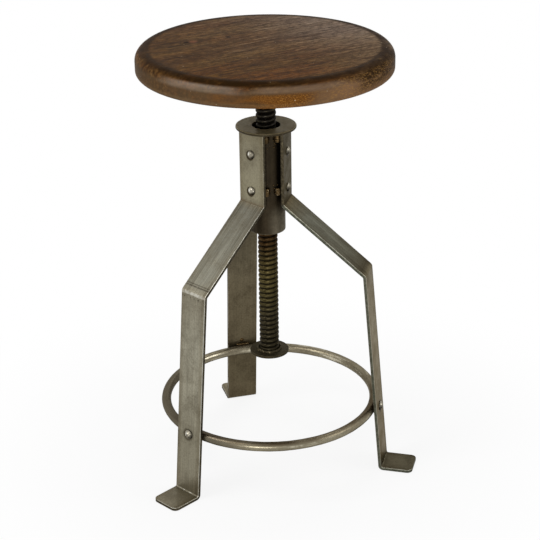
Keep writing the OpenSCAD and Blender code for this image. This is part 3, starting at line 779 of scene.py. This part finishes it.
weld_out, weld_aside, weld_w, weld_h, flange_weld_z = 0.0204, 0.0203, 0.0050, 0.0030, 0.50088
drop_count = 12
beads, heats = [], []
for turn, (direction, _) in enumerate(legs.values()):
    largest, hot, coldest = [(0.0009, 0.12, 0.0), (0.0015, 0.95, 0.6), (0.0009, 0.4, 0.0)][turn]
    for hand in (-1, 1):
        for row, z in enumerate((flange_weld_z, hub_rivet_heights[1])):
            seed = 100 + 10 * turn + 2 * row + (hand > 0)
            rng = np.random.default_rng(seed)
            bead = weld_run(rng.uniform(0.0115, 0.0138), weld_w, weld_h, seed)
            bead = bead + np.array([weld_out, hand * weld_aside, z + rng.uniform(-0.0001, 0.0001)])
            high = z - rng.uniform(-0.006, 0.0165, drop_count) * (1 if row == 0 else -0.7)
            swing = hand * np.radians(rng.uniform(40, 56, drop_count))
            drops = spatter(round_axis(tube_r, swing, high), rng.uniform(0.0003, largest, drop_count))
            beads += [turned_to(g, direction) for g in [bead, *drops]]
            heats.append(np.full(bead.shape[:2], hot))
            heats += [np.full(drop.shape[:2], rng.uniform(coldest, 1)) for drop in drops]
hub_welds = piece("hub_welds_run", weld_steel, beads, masks={"heat": heats})
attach(hub_welds, "frame")
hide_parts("hub_welds")


# Footrest ring.
# Round bar of 14 mm rolled into a ring and butt welded, with fine pits and brown streaks that run with
# the bar. Feet rub its sides and its back brighter; at the front the bright sides are partly a painted
# reflection.
ring_bar_r = 0.007
shin_lean = math.atan2(heel_out - knee_out, knee_z - bar_t)
shin_out = knee_out + (heel_out - knee_out) * (knee_z - ring_z) / (knee_z - bar_t)
ring_r = shin_out - bar_t / math.cos(shin_lean) - (ring_bar_r + hair) / math.cos(shin_lean)


def hoop(radius, bar, rounds=288, sides=28, dent=0.00006, shrink=0.0002):
    """A ring of round bar: at angles p round the hoop and q round the bar, the point is
    (radius + bar cos q) out at p, and bar sin q up, with slow random dents in the bar. Returns the
    points and their unrolled places."""
    p, q = two_ways(math.tau, rounds + 1, math.tau, sides + 1)
    rng = np.random.default_rng(7)
    dents = dent * sum(rng.uniform(0.3, 1) * np.sin(k * p + rng.uniform(0, 6.3))
                       * np.cos(j * q + rng.uniform(0, 6.3)) for k, j in ((11, 1), (23, 2), (37, 1), (51, 2)))
    thick = bar - shrink + dents
    return round_axis(radius + thick * np.cos(q), p, thick * np.sin(q)), np.stack([radius * p, bar * q], -1)


ring_steel, effect, shader = steel_material(
    "ring_steel", seen(138, 131, 111), seen(88, 76, 57), seen(196, 189, 168), grain=(22, 420, 1), bump=0.2,
    unrolled=True, stains=0.5, streaks=0.30, pits=1.0, dullness=0.34, cloud_size=1.2)
spot = own_place(effect)
at_front, at_left = ease(part_of(spot, "Y"), 0.03, -0.06), ease(part_of(spot, "X"), -0.075, -0.115)
up = part_of(place(effect, "NewGeometry").outputs["Normal"], "Z")
unrolled = place(effect, "UVMap", uv_map="unrolled").outputs[0]
rub_and_sheen_band = ease(drawn_clouds(unrolled, (16, 150, 1), 3.0, 0.55), 0.40, 0.68, 0.0, 0.75)
side_wear_and_sheen = most(times(ease(up, -0.5, 0.1), ease(up, 0.75, 0.35, 0.2, 0.7)),
                 ease(at_front, 1.0, 0.0, 0.0, 0.9))
feed(effect, "Wear_And_Sheen", times(rub_and_sheen_band, side_wear_and_sheen, ease(at_left, 0.0, 1.0, 1.0, 0.35)))
# Its underside is painted darker, as painted shade, and the top of its front darker and browner, a painted
# dark reflection; its left part is darker.
shade = tint(ease(up, -0.25, -0.8, 0.0, 0.55), effect.outputs["Color"], seen(62, 52, 37))
top_dark_reflection = times(ease(up, 0.3, 0.85), ease(drawn_clouds(unrolled, (12, 90, 1), 3.0), 0.35, 0.6, 0.45, 0.9),
                  ease(at_front, 0.0, 1.0, 0.25, 1.0))
shade = tint(top_dark_reflection, shade, seen(72, 60, 43))
feed(shader, "Base Color", tint(times(at_left, 0.6), shade, seen(72, 66, 56)))

points, ring_map = hoop(ring_r, ring_bar_r)
ring = piece("footrest_ring_rolled", ring_steel, [points + np.array([0, 0, ring_z])], [ring_map])
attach(ring, "frame")
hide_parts("footrest_ring")


# Footrest rivets.
# One stepped rivet a leg goes through the bar into the ring. Its head has a flat step, a low dome
# and the dimple that the setting punch left.
step_r, step_h, crown_r, crown_h = ring_head_r, 0.00144, 0.00482, 0.0048
dimple_r, dimple_deep = 0.00145, 0.0009
ring_rivet_out = ring_bar_r + hair + bar_t + hair
ring_shank = bar_t + hair + 0.006
ring_head_sides = 36
crown_ball = (crown_r ** 2 + (crown_h - step_h) ** 2) / (2 * (crown_h - step_h))
crown_x = np.linspace(dimple_r, crown_r, 9)
crown = np.stack([crown_x, crown_h - crown_ball + np.sqrt(crown_ball ** 2 - crown_x ** 2)], 1)
dip = np.linspace(0, 1, 6)[:-1, None]
dimple = np.concatenate([dip * dimple_r, crown[0, 1] - dimple_deep * (1 - dip ** 2)], 1)
stepped = np.concatenate([dimple, crown, [
    (crown_r + 0.0002, step_h), (step_r - 0.0004, step_h), (step_r - 0.0001, step_h - 0.0001),
    (step_r, step_h - 0.0004), (step_r, 0.0), (rivet_r, 0.0), (rivet_r, -ring_shank), (0.0, -ring_shank)]])
# How dark each row of the profile is: in the dimple, at the step's edge and below it.
rim_mask = np.interp(stepped[:, 0], [0, dimple_r * 0.9, dimple_r * 1.2, step_r - 0.0003, step_r],
                     [0.85, 0.7, 0, 0, 0.5])
rim_mask[-4:] = 0.9


def on_shin(points):
    """Points set out from the ring's bar on an upright leg, leaned as the shin leans and moved there."""
    c, s = math.cos(shin_lean), math.sin(shin_lean)
    return points @ np.array([(c, 0, s), (0, 1, 0), (-s, 0, c)]) + np.array([ring_r, 0, ring_z])


for leg, (direction, front_side) in legs.items():
    head = hammered(turned(stepped, ring_head_sides), 300 + direction, 0.008)
    head = turned_to(on_shin(aimed(head, (ring_rivet_out, 0, 0))), direction)
    # Its head gets the same painted shaded crescent and painted highlight spot as the hub rivets.
    dark_rim_and_shade, highlight_spot = head_shade_and_highlight(rim_mask, stepped[:, 0] / step_r, front_side, ring_head_sides)
    rivet = piece("footrest_rivet_" + leg + "_stepped", rivet_steel, [head],
                  masks={"rim": [dark_rim_and_shade], "painted_highlight": [highlight_spot]})
    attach(rivet, "frame")
    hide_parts("footrest_rivet_" + leg)


# Footrest welds.
# A bead above and one below the ring tacks its bar to the inner face of each leg, and one drop of weld
# is left on the back leg above the ring.
tack_len, tack_r, tack_ripple, tack_sunk = 0.0205, 0.0019, 0.0024, 0.0020
drop_r, drop_h, drop_aside, drop_up = 0.0032, 0.0016, 0.001, 0.0135
tacks = []
for turn, (direction, _) in enumerate(legs.values()):
    for hand in (-1, 1):
        bead = weld_run(tack_len, tack_r, tack_r, 500 + 10 * turn + hand, tack_ripple)
        bead = bead[..., [0, 2, 1]] + np.array([ring_bar_r - tack_sunk, 0, hand * ring_bar_r])
        tacks.append(turned_to(on_shin(bead), direction))
drop = aimed(turned(np.concatenate([dome(drop_r, drop_h), [(0.0, 0.0)]]), 20),
             (ring_bar_r + hair, drop_aside, drop_up), math.pi)
tacks.append(turned_to(on_shin(drop), legs["back"][0]))
tack_heats = [np.full(g.shape[:2], 0.3 if k < 4 else 0.0) for k, g in enumerate(tacks)]
footrest_welds = piece("footrest_welds_run", weld_steel, tacks, masks={"heat": tack_heats})
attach(footrest_welds, "frame")
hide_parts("footrest_welds")


# Spindle.
# A single-start screw with a broad round thread, black and oily where it has not been wound through
# the nut, rust brown below the hub, then olive where old grease has dried. Its top end is plain.
crest_r, root_r, pitch, uncut = 0.0141, 0.0120, 0.00725, 0.0030
screw_low, thread_top, spigot_top, spigot_r, screw_sides = 0.1703, 0.5739, 0.5899, 0.0117, 72


def screw(rows_a_turn=12):
    """The thread: rows climb with the turn, so row i at angle a is at height i / rows + a / full turn
    pitches. The radius is the root and a share of the depth, 1 - |2 s - 1| ^ 2.2, where s is the
    share of the pitch. The foot is left uncut, the thread runs out below the boss, and rows past an
    end stop there."""
    turns = (thread_top - screw_low) / pitch
    i = np.arange(-2 * rows_a_turn, int((turns + 2) * rows_a_turn))[:, None]
    a = np.linspace(0, 1, screw_sides + 1)[None, :]
    z = screw_low + pitch * (0.05 + i / rows_a_turn + a)
    share = (i / rows_a_turn) % 1.0 + 0 * a
    cut_in = np.clip((z - screw_low - uncut) / (pitch / 2), 0, 1)
    run_out = np.clip((thread_top - pitch - z) / (pitch / 2), 0, 1)
    crest = 1 - cut_in + cut_in * (1 - np.abs(2 * share - 1) ** 2.2) * run_out
    r = root_r + (crest_r - root_r) * crest
    z = np.clip(z, screw_low, thread_top)
    return round_axis(r, math.tau * a, z), crest


thread, crest = screw()
screw_foot = turned([(0.0, screw_low), (crest_r, screw_low)], screw_sides)
spigot = turned([(root_r, thread_top), (spigot_r + 0.0001, thread_top), (spigot_r, thread_top + 0.0001),
                 (spigot_r, spigot_top - 0.0005), (spigot_r - 0.0005, spigot_top), (0.0, spigot_top)],
                screw_sides)

screw_steel, effect, shader = steel_material(
    "screw_steel", seen(92, 80, 48), seen(34, 28, 17), seen(150, 138, 98), grain=(150, 150, 900), bump=0.35,
    metal=0.75, shine=0.15, stains=0.6, streaks=0.3, pits=0.45, dullness=0.38)
spot = own_place(effect)
drift = scaled(clouds(spot, 32.0, 3.0), 0.03, less(part_of(spot, "Z"), 0.015))
bands_low, bands_high = 0.16, 0.60
bands = []
for z, shade in [(0.165, seen(50, 45, 32)), (0.225, seen(60, 54, 38)), (0.255, seen(84, 76, 45)),
                 (0.310, seen(90, 78, 45)), (0.340, seen(74, 52, 26)), (0.368, seen(50, 35, 20)),
                 (0.44, seen(40, 36, 30)), (0.60, seen(38, 36, 33))]:
    share = min(max((z - bands_low) / (bands_high - bands_low), 0.0), 1.0)
    bands.append((share * share * (3 - 2 * share), shade))
feed(effect, "Steel", ramp(ease(drift, bands_low, bands_high), bands, "LINEAR"))
# The grooves are painted near black, as grease and painted shade, and the crests a little brighter.
groove = painted(effect, "crest")
groove_grease_and_shade = ease(groove, 0.88, 0.25, 0.0, 0.93)
feed(shader, "Base Color", tint(groove_grease_and_shade, effect.outputs["Color"], seen(13, 10, 6)))
feed(effect, "Wear_And_Sheen", times(ease(groove, 0.93, 1.0), 0.3))

spindle = piece("spindle_threaded", screw_steel, [thread, screw_foot, spigot],
                masks={"crest": [crest, np.full(screw_foot.shape[:2], 0.6), np.full(spigot.shape[:2], 0.8)]})
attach(spindle, "seat_and_spindle")
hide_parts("spindle")


# Stop disc.
# A disc at the screw's foot that keeps the seat from being wound out of the hub, with a ring of weld
# where it meets the screw. It is black with scale and old grease.
disc_r, disc_low, disc_high = 0.028, 0.166, 0.170
collar_r, collar_wide, collar_high = 0.0164, 0.0020, 0.0034


def weld_collar(radius, wide, high, seed, drops=19):
    """A ring of weld: an ellipse carried round a circle, swelling once for each drop of metal, with
    slow random lumps that keep to its outside."""
    rng = np.random.default_rng(seed)
    p, q = two_ways(math.tau, 241, math.tau, 17)
    lumps = sum(rng.uniform(0.02, 0.06) * np.cos(k * p + rng.uniform(0, 6.3)) for k in (2, 3, 5, 7))
    size = np.clip(0.80 + 0.14 * np.abs(np.sin(p * drops / 2)) + lumps, 0, 1)
    return round_axis(radius + wide * size * np.cos(q), p, high * size * np.sin(q))


def from_axis_of(spot):
    """How far out a point is from the screw's axis."""
    return arrow("LENGTH", arrow("MULTIPLY", spot, (1, 1, 0)))


disc_scale, effect, shader = steel_material(
    "disc_scale", seen(68, 61, 45), seen(40, 35, 24), seen(150, 136, 102), grain=(260, 260, 260), bump=0.5,
    metal=0.6, shine=0.1, stains=0.7, streaks=0.3, pits=0.6, dullness=0.46)
spot = own_place(effect)
out = from_axis_of(spot)
specks = times(ease(clouds(spot, 520.0, 2.0), 0.60, 0.68), ease(out, 0.0188, 0.0182))
feed(effect, "Wear_And_Sheen", most(specks, ease(out, disc_r - 0.0012, disc_r - 0.0003, 0.0, 0.1)))

disc = turned(softened(block(0.0, disc_r, disc_low, disc_high), [0, 0.0009, 0.0009, 0]))
collar = weld_collar(collar_r, collar_wide, collar_high, 61) + np.array([0, 0, disc_high])
stop_disc = piece("end_disc_welded", disc_scale, [disc, collar])
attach(stop_disc, "stop_disc")
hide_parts("end_disc")


# Seat plate.
# A round steel plate with a turned boss, bored for the screw's plain end and welded to it. Four
# countersunk wood screws hold it under the seat.
plate_low, plate_high, plate_r = 0.58495, 0.58995, 0.055
boss_low, boss_r, bore_r = 0.57395, 0.022, 0.0118
plate_black, effect, shader = steel_material(
    "plate_black", seen(66, 62, 54), seen(30, 27, 22), seen(140, 134, 118), grain=(200, 200, 200), bump=0.35,
    stains=0.7, streaks=0.2, pits=0.4, dullness=0.45)
feed(effect, "Wear_And_Sheen", ease(from_axis_of(own_place(effect)), plate_r - 0.0012, plate_r - 0.0003, 0.0, 0.6))
seat_plate = piece("seat_plate_turned", plate_black, [turned(softened(
    [(bore_r, boss_low), (boss_r, boss_low), (boss_r, plate_low), (plate_r, plate_low), (plate_r, plate_high),
     (bore_r, plate_high)], [0.0004, 0.0012, 0.0028, 0.0009, 0.0005, 0.0003], ring=True))])
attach(seat_plate, "seat_and_spindle")
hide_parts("seat_plate")


# Wooden seat.
# Solid dark-stained walnut, sawn round, with a big round upper edge and a small lower one. The grain
# runs across the stool. The edge is dark where it begins, partly stain and partly a painted dark
# reflection, and the stain is rubbed golden below it.
seat_r, seat_low, seat_high, top_round, low_round = 0.175, 0.590, 0.623, 0.015, 0.006
low_flat_r, seat_sides = 0.168, 192
low_rows = np.stack([np.linspace(0, low_flat_r, 8), np.full(8, seat_low)], 1)
edge_rows = softened(block(0.0, seat_r, seat_low, seat_high), [0, low_round, top_round, 0], steps=14)[1:-1]
flat_rows = np.stack([np.linspace(0, seat_r - top_round, 12)[:-1], np.full(11, seat_high)], 1)[::-1]
seat_profile = np.round(np.concatenate([low_rows, edge_rows, flat_rows]), 9)

walnut = bpy.data.materials.new("seat_walnut")
tree = emptied(walnut)
spot = own_place(tree)
plank = place(tree, "Mapping", {"Vector": spot, "Rotation": (0, 0, math.radians(-15.0))}).outputs[0]
plank_x, plank_y, height = part_of(plank, "X"), part_of(plank, "Y"), part_of(spot, "Z")
flat, out = arrow("MULTIPLY", spot, (1, 1, 0)), from_axis_of(spot)


def oval(vector, centre, half):
    """How far a point is from an oval's centre: 0 in its middle and 1 at its edge, of the half sizes."""
    off = arrow("SUBTRACT", vector, (*centre, 0))
    return arrow("LENGTH", arrow("MULTIPLY", off, (1 / half[0], 1 / half[1], 0)))


def layered(colour, coats):
    """The colour with coats laid over it in turn, each of them an (amount, colour) pair."""
    for amount, over in coats:
        colour = tint(amount, colour, over)
    return colour


# The grain lies along the plank's X. It wanders a little, and opens round the eye of a branch.
eye_x, eye_y = -0.0809, 0.0714
sway = scaled(drawn_clouds(plank, (6, 10, 10), 2.0, 0.5), 0.020, -0.010)
from_eye = oval(plank, (eye_x, eye_y), (0.055, 0.013))
opening = calc("DIVIDE", 0.72, scaled(from_eye, from_eye, 1.0))
pull = scaled(times(less(plank_y, eye_y), opening), -1.0, sway)
grain = arrow("ADD", plank, place(tree, "CombineXYZ", {1: pull, 2: sway}).outputs[0])

broad = ease(drawn_clouds(grain, (5, 26, 26)), 0.34, 0.66)
warm = ease(drawn_clouds(grain, (7, 40, 40), 3.0), 0.42, 0.66)
bands = ease(drawn_clouds(grain, (11, 120, 120), 3.0), 0.36, 0.64)
strand = drawn_clouds(grain, (14, 210, 210), 4.0, 0.62)
fibre = drawn_clouds(grain, (30, 330, 330), 4.0, 0.7)
short_fibre = drawn_clouds(grain, (95, 620, 620), 3.0, 0.7)
pores = ease(drawn_clouds(grain, (120, 1500, 1500), 1.0, 0.5), 0.60, 0.70)
mottle = drawn_clouds(grain, (110, 190, 190), 4.0, 0.7)

umber, tan, rust = seen(72, 51, 33), seen(100, 78, 52), seen(110, 69, 39)
reddish = times(warm, ease(plank_y, 0.02, -0.09, 0.25, 0.6), ease(plank_x, 0.10, -0.04, 0.3, 1.0))
# Among these coats, the pale grey towards the right is a painted sheen.
wood = layered(tint(broad, umber, tan), [
    (reddish, rust),
    (ease(plank_x, -0.01, 0.17, 0.0, 0.6), seen(128, 114, 103)),
    (times(bands, 0.30), umber),
    (ease(strand, 0.50, 0.32, 0.0, 0.62), seen(48, 32, 19)),
    (ease(strand, 0.52, 0.70, 0.0, 0.40), seen(120, 101, 82)),
    (ease(fibre, 0.56, 0.34, 0.0, 0.62), seen(50, 33, 19)),
    (ease(fibre, 0.54, 0.74, 0.0, 0.50), seen(124, 105, 86)),
    (ease(short_fibre, 0.60, 0.36, 0.0, 0.45), seen(52, 36, 25)),
    (times(pores, 0.5), seen(36, 24, 15))])
wood = arrow("SCALE", wood, scale=scaled(less(strand, 0.5), 1.3, scaled(mottle, 4.4, -0.72)))
# The top is painted warmer towards the front and paler and greyer towards the right: a painted sheen.
sheen_front_back = tint(ease(plank_y, 0.02, -0.11), seen(255, 255, 255), seen(243, 231, 200))
sheen_left_right = tint(ease(plank_x, -0.15, 0.15), seen(214, 201, 166), seen(250, 253, 255))
wood = tint(1.0, tint(1.0, wood, sheen_front_back, "MULTIPLY"), sheen_left_right, "MULTIPLY")
wood = tint(ease(height, 0.5935, 0.5905, 0.0, 0.5), wood, seen(80, 60, 43))


# The turned edge: a dark brow where it begins, partly stain and partly a painted dark reflection, olive
# brown below it to the left and redder to the right, and gold at the front and in flecks on the right,
# where the stain is rubbed through. A paler band high on its front is a painted sheen, and its side is
# darker at the right front and at the far left. Heights are over the floor, and azimuths are in degrees
# from the stool's front to its right.
def towards(azimuth):
    """1 on the seat's edge at an azimuth, 0 at right angles to it, and less than 0 beyond."""
    way = (math.sin(math.radians(azimuth)) / seat_r, -math.cos(math.radians(azimuth)) / seat_r, 0)
    return arrow("DOT_PRODUCT", flat, way)


ragged = drawn_clouds(spot, (60, 60, 200), 3.0)
patchy = ease(drawn_clouds(spot, (14, 14, 60)), 0.36, 0.62, 0.15, 1.0)
flecks = ease(drawn_clouds(plank, (300, 1200, 900), 2.0), 0.46, 0.66)
sparse = ease(drawn_clouds(plank, (210, 1100, 800), 3.0, 0.65), 0.50, 0.64)
darkest_brown = seen(40, 25, 9)

edge = times(ease(height, 0.6165, 0.6085), ease(out, 0.166, 0.171))
side_tone = tint(ease(plank_x, -0.10, 0.05), seen(73, 60, 43), seen(146, 114, 86))
side_tone = tint(ease(towards(125.0), 0.20, 0.66), side_tone, seen(88, 65, 38))
gold = times(edge, ease(towards(-17.0), 0.90, 0.965, 0.12, 1.0), ease(height, 0.6125, 0.6060), patchy)
gilded = times(gold, flecks, ease(plank_x, -0.12, -0.06, 0.2, 0.66))
right_flecks = times(ease(towards(36.0), 0.84, 0.95), ease(height, 0.6210, 0.6165), sparse, 0.62)
brow_low = ease(towards(-30.0), 0.72, 0.97, 0.6206, 0.6180)
brow_stain_and_reflection = times(ease(out, 0.1525, 0.1585), ease(less(height, brow_low), -0.0026, 0.0020),
             ease(ragged, 0.3, 0.6, 0.66, 1.0))
dark_right_front = times(ease(towards(52.0), 0.865, 0.955, 0.0, 0.95), ease(height, 0.592, 0.607, 0.35, 1.0),
               ease(out, 0.1600, 0.1640), ease(ragged, 0.30, 0.55, 0.55, 1.0))
far_left = times(ease(towards(-105.0), 0.85, 0.97, 0.0, 0.25), ease(height, 0.598, 0.604),
                 ease(height, 0.6165, 0.6120))
rub_and_sheen = times(ease(height, 0.6085, 0.6135), ease(height, 0.6196, 0.6160),
               ease(towards(0.0), 0.90, 0.96, 0.0, 0.55), ease(out, 0.160, 0.166),
               ease(ragged, 0.3, 0.7, 0.75, 1.0))
low_edge = times(ease(height, 0.5985, 0.5955), ease(height, 0.591, 0.593),
                 ease(plank_x, 0.02, -0.05, 0.0, 0.18))
wood = layered(wood, [
    (times(edge, scaled(patchy, 0.35, 0.42)), side_tone),
    (times(gold, 0.94), seen(99, 61, 23)),
    (gilded, seen(168, 114, 50)),
    (most(brow_stain_and_reflection, dark_right_front), darkest_brown),
    (right_flecks, seen(160, 120, 66)),
    (far_left, darkest_brown),
    (rub_and_sheen, seen(133, 111, 91)),
    (low_edge, seen(128, 104, 74))])

# The eye, a small knot and some dark lines in the grain of the top, and a few pale nicks. Each row has
# an oval's centre, its half sizes, the shares of them where it starts to fade and ends, and its depth.
dark = 0.0
for vector, centre, half, full, gone, depth in [
        (plank, (eye_x - 0.0229, eye_y + 0.0081), (0.034, 0.0050), 0.2, 1.0, 0.72),
        (plank, (eye_x - 0.0236, eye_y - 0.0070), (0.015, 0.0048), 0.3, 1.0, 0.72),
        (plank, (eye_x, eye_y), (0.0066, 0.0050), 0.45, 1.1, 0.95),
        (plank, (-0.0201, 0.0640), (0.0040, 0.0060), 0.3, 1.2, 0.80),
        (plank, (eye_x - 0.018, eye_y + 0.002), (0.045, 0.022), 0.35, 1.1, 0.34),
        (grain, (-0.0388, 0.0852), (0.036, 0.0022), 0.3, 1.0, 0.62),
        (grain, (0.0305, 0.0865), (0.045, 0.0020), 0.3, 1.0, 0.5),
        (grain, (-0.1017, 0.0565), (0.024, 0.0022), 0.3, 1.0, 0.5),
        (grain, (-0.0735, -0.0023), (0.026, 0.0022), 0.3, 1.0, 0.4),
        (grain, (-0.0634, -0.0719), (0.018, 0.0030), 0.3, 1.0, 0.5),
        (grain, (0.0956, -0.0798), (0.016, 0.0026), 0.3, 1.0, 0.45)]:
    dark = most(dark, ease(oval(vector, centre, half), full, gone, depth, 0.0))
on_top = ease(height, 0.60, 0.61)
blush = ease(oval(plank, (eye_x + 0.0095, eye_y - 0.0015), (0.0075, 0.0075)), 0.3, 1.1, 0.55, 0.0)
nicks = ease(clouds(spot, 260.0, 1.0, 0.5), 0.785, 0.80, 0.0, 0.7)
wood = layered(wood, [(times(dark, on_top), seen(22, 14, 9)), (times(blush, on_top), seen(124, 78, 55)),
                      (nicks, seen(196, 180, 150))])

# Hands keep the edge waxed on the side that the stool is pulled by; there it is also painted paler, a
# painted sheen.
waxed_and_sheen = times(ease(height, 0.6192, 0.6157), ease(height, 0.6065, 0.6120, 0.1, 1.0),
                ease(towards(-42.0), 0.875, 0.975, 0.03, 0.72), ease(towards(-60.0), 0.74, 0.90),
                ease(out, 0.168, 0.1715), ease(ragged, 0.3, 0.7, 0.75, 1.0))
wood = tint(times(waxed_and_sheen, 0.45), wood, seen(140, 122, 101))
relief = scaled(pores, -0.5, scaled(fibre, 0.8, times(short_fibre, 0.5)))
bump = place(tree, "Bump", {"Strength": 0.4, "Distance": 0.0005, "Height": relief})
shader = place(tree, "BsdfPrincipled", {
    "Base Color": wood, "Roughness": scaled(fibre, 0.25, 0.33), "Normal": bump.outputs[0],
    "Specular IOR Level": 0.01, "Coat Weight": waxed_and_sheen, "Coat Roughness": 0.5})
place(tree, "OutputMaterial", {"Surface": shader.outputs[0]})

seat = piece("seat_turned", walnut, [turned(seat_profile, seat_sides)])
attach(seat, "seat_and_spindle")
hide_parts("seat")


# Wood screws.
# Four countersunk steel screws with a plain slot, flush in the plate, with tapered points in the wood.
head_r, head_h, shank_r, screw_len, slot_half, slot_deep = 0.0048, 0.0028, 0.0025, 0.025, 0.0006, 0.0011
screws_out, point_len, point_r = 0.040, 0.006, 0.0006


def slotted_head(radius, height, low_r):
    """A countersunk head seen from below: points (x, y) of a disc, y going over the chord at each x.
    The flat face drops by the slot's depth where x is within the slot; the far side is the same disc
    drawn in to the shank, and strips join their rims."""
    x = np.concatenate([-np.cos(np.linspace(0, 1, 9)[:-1] * math.pi / 2) * (radius - slot_half) - slot_half,
                        [-slot_half, -slot_half, -slot_half / 2, 0.0]])
    deep = np.concatenate([np.zeros(9), [1.0, 1.0, 1.0]])
    x, deep = np.concatenate([x, -x[-2::-1]])[:, None], np.concatenate([deep, deep[-2::-1]])[:, None]
    chord = np.sqrt(np.clip(radius ** 2 - x ** 2, 0, None)) * np.linspace(-1, 1, 17)
    face = np.stack([x + 0 * chord, chord, slot_deep * deep + 0 * chord], -1)
    far = np.stack([(x + 0 * chord) * low_r / radius, chord * low_r / radius, height + 0 * chord], -1)
    return [face, far, np.stack([face[:, 0], far[:, 0]]), np.stack([face[:, -1], far[:, -1]])]


shank = turned([(0.0, head_h - 0.0002), (shank_r, head_h - 0.0002), (shank_r, screw_len - point_len),
                (point_r, screw_len - 0.0005), (0.0, screw_len)], 20)
screws = []
for k in range(4):
    direction = 45 + 90 * k
    at = round_axis(screws_out, math.radians(direction), plate_low)
    screws += [turned_to(g, direction + math.degrees(k)) + at
               for g in [*slotted_head(head_r, head_h, shank_r), shank]]
seat_screws = piece("seat_screws_slotted", rivet_steel, screws,
                    masks={"rim": [np.zeros(g.shape[:2]) for g in screws]})
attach(seat_screws, "seat_and_spindle")
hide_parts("seat_screws")
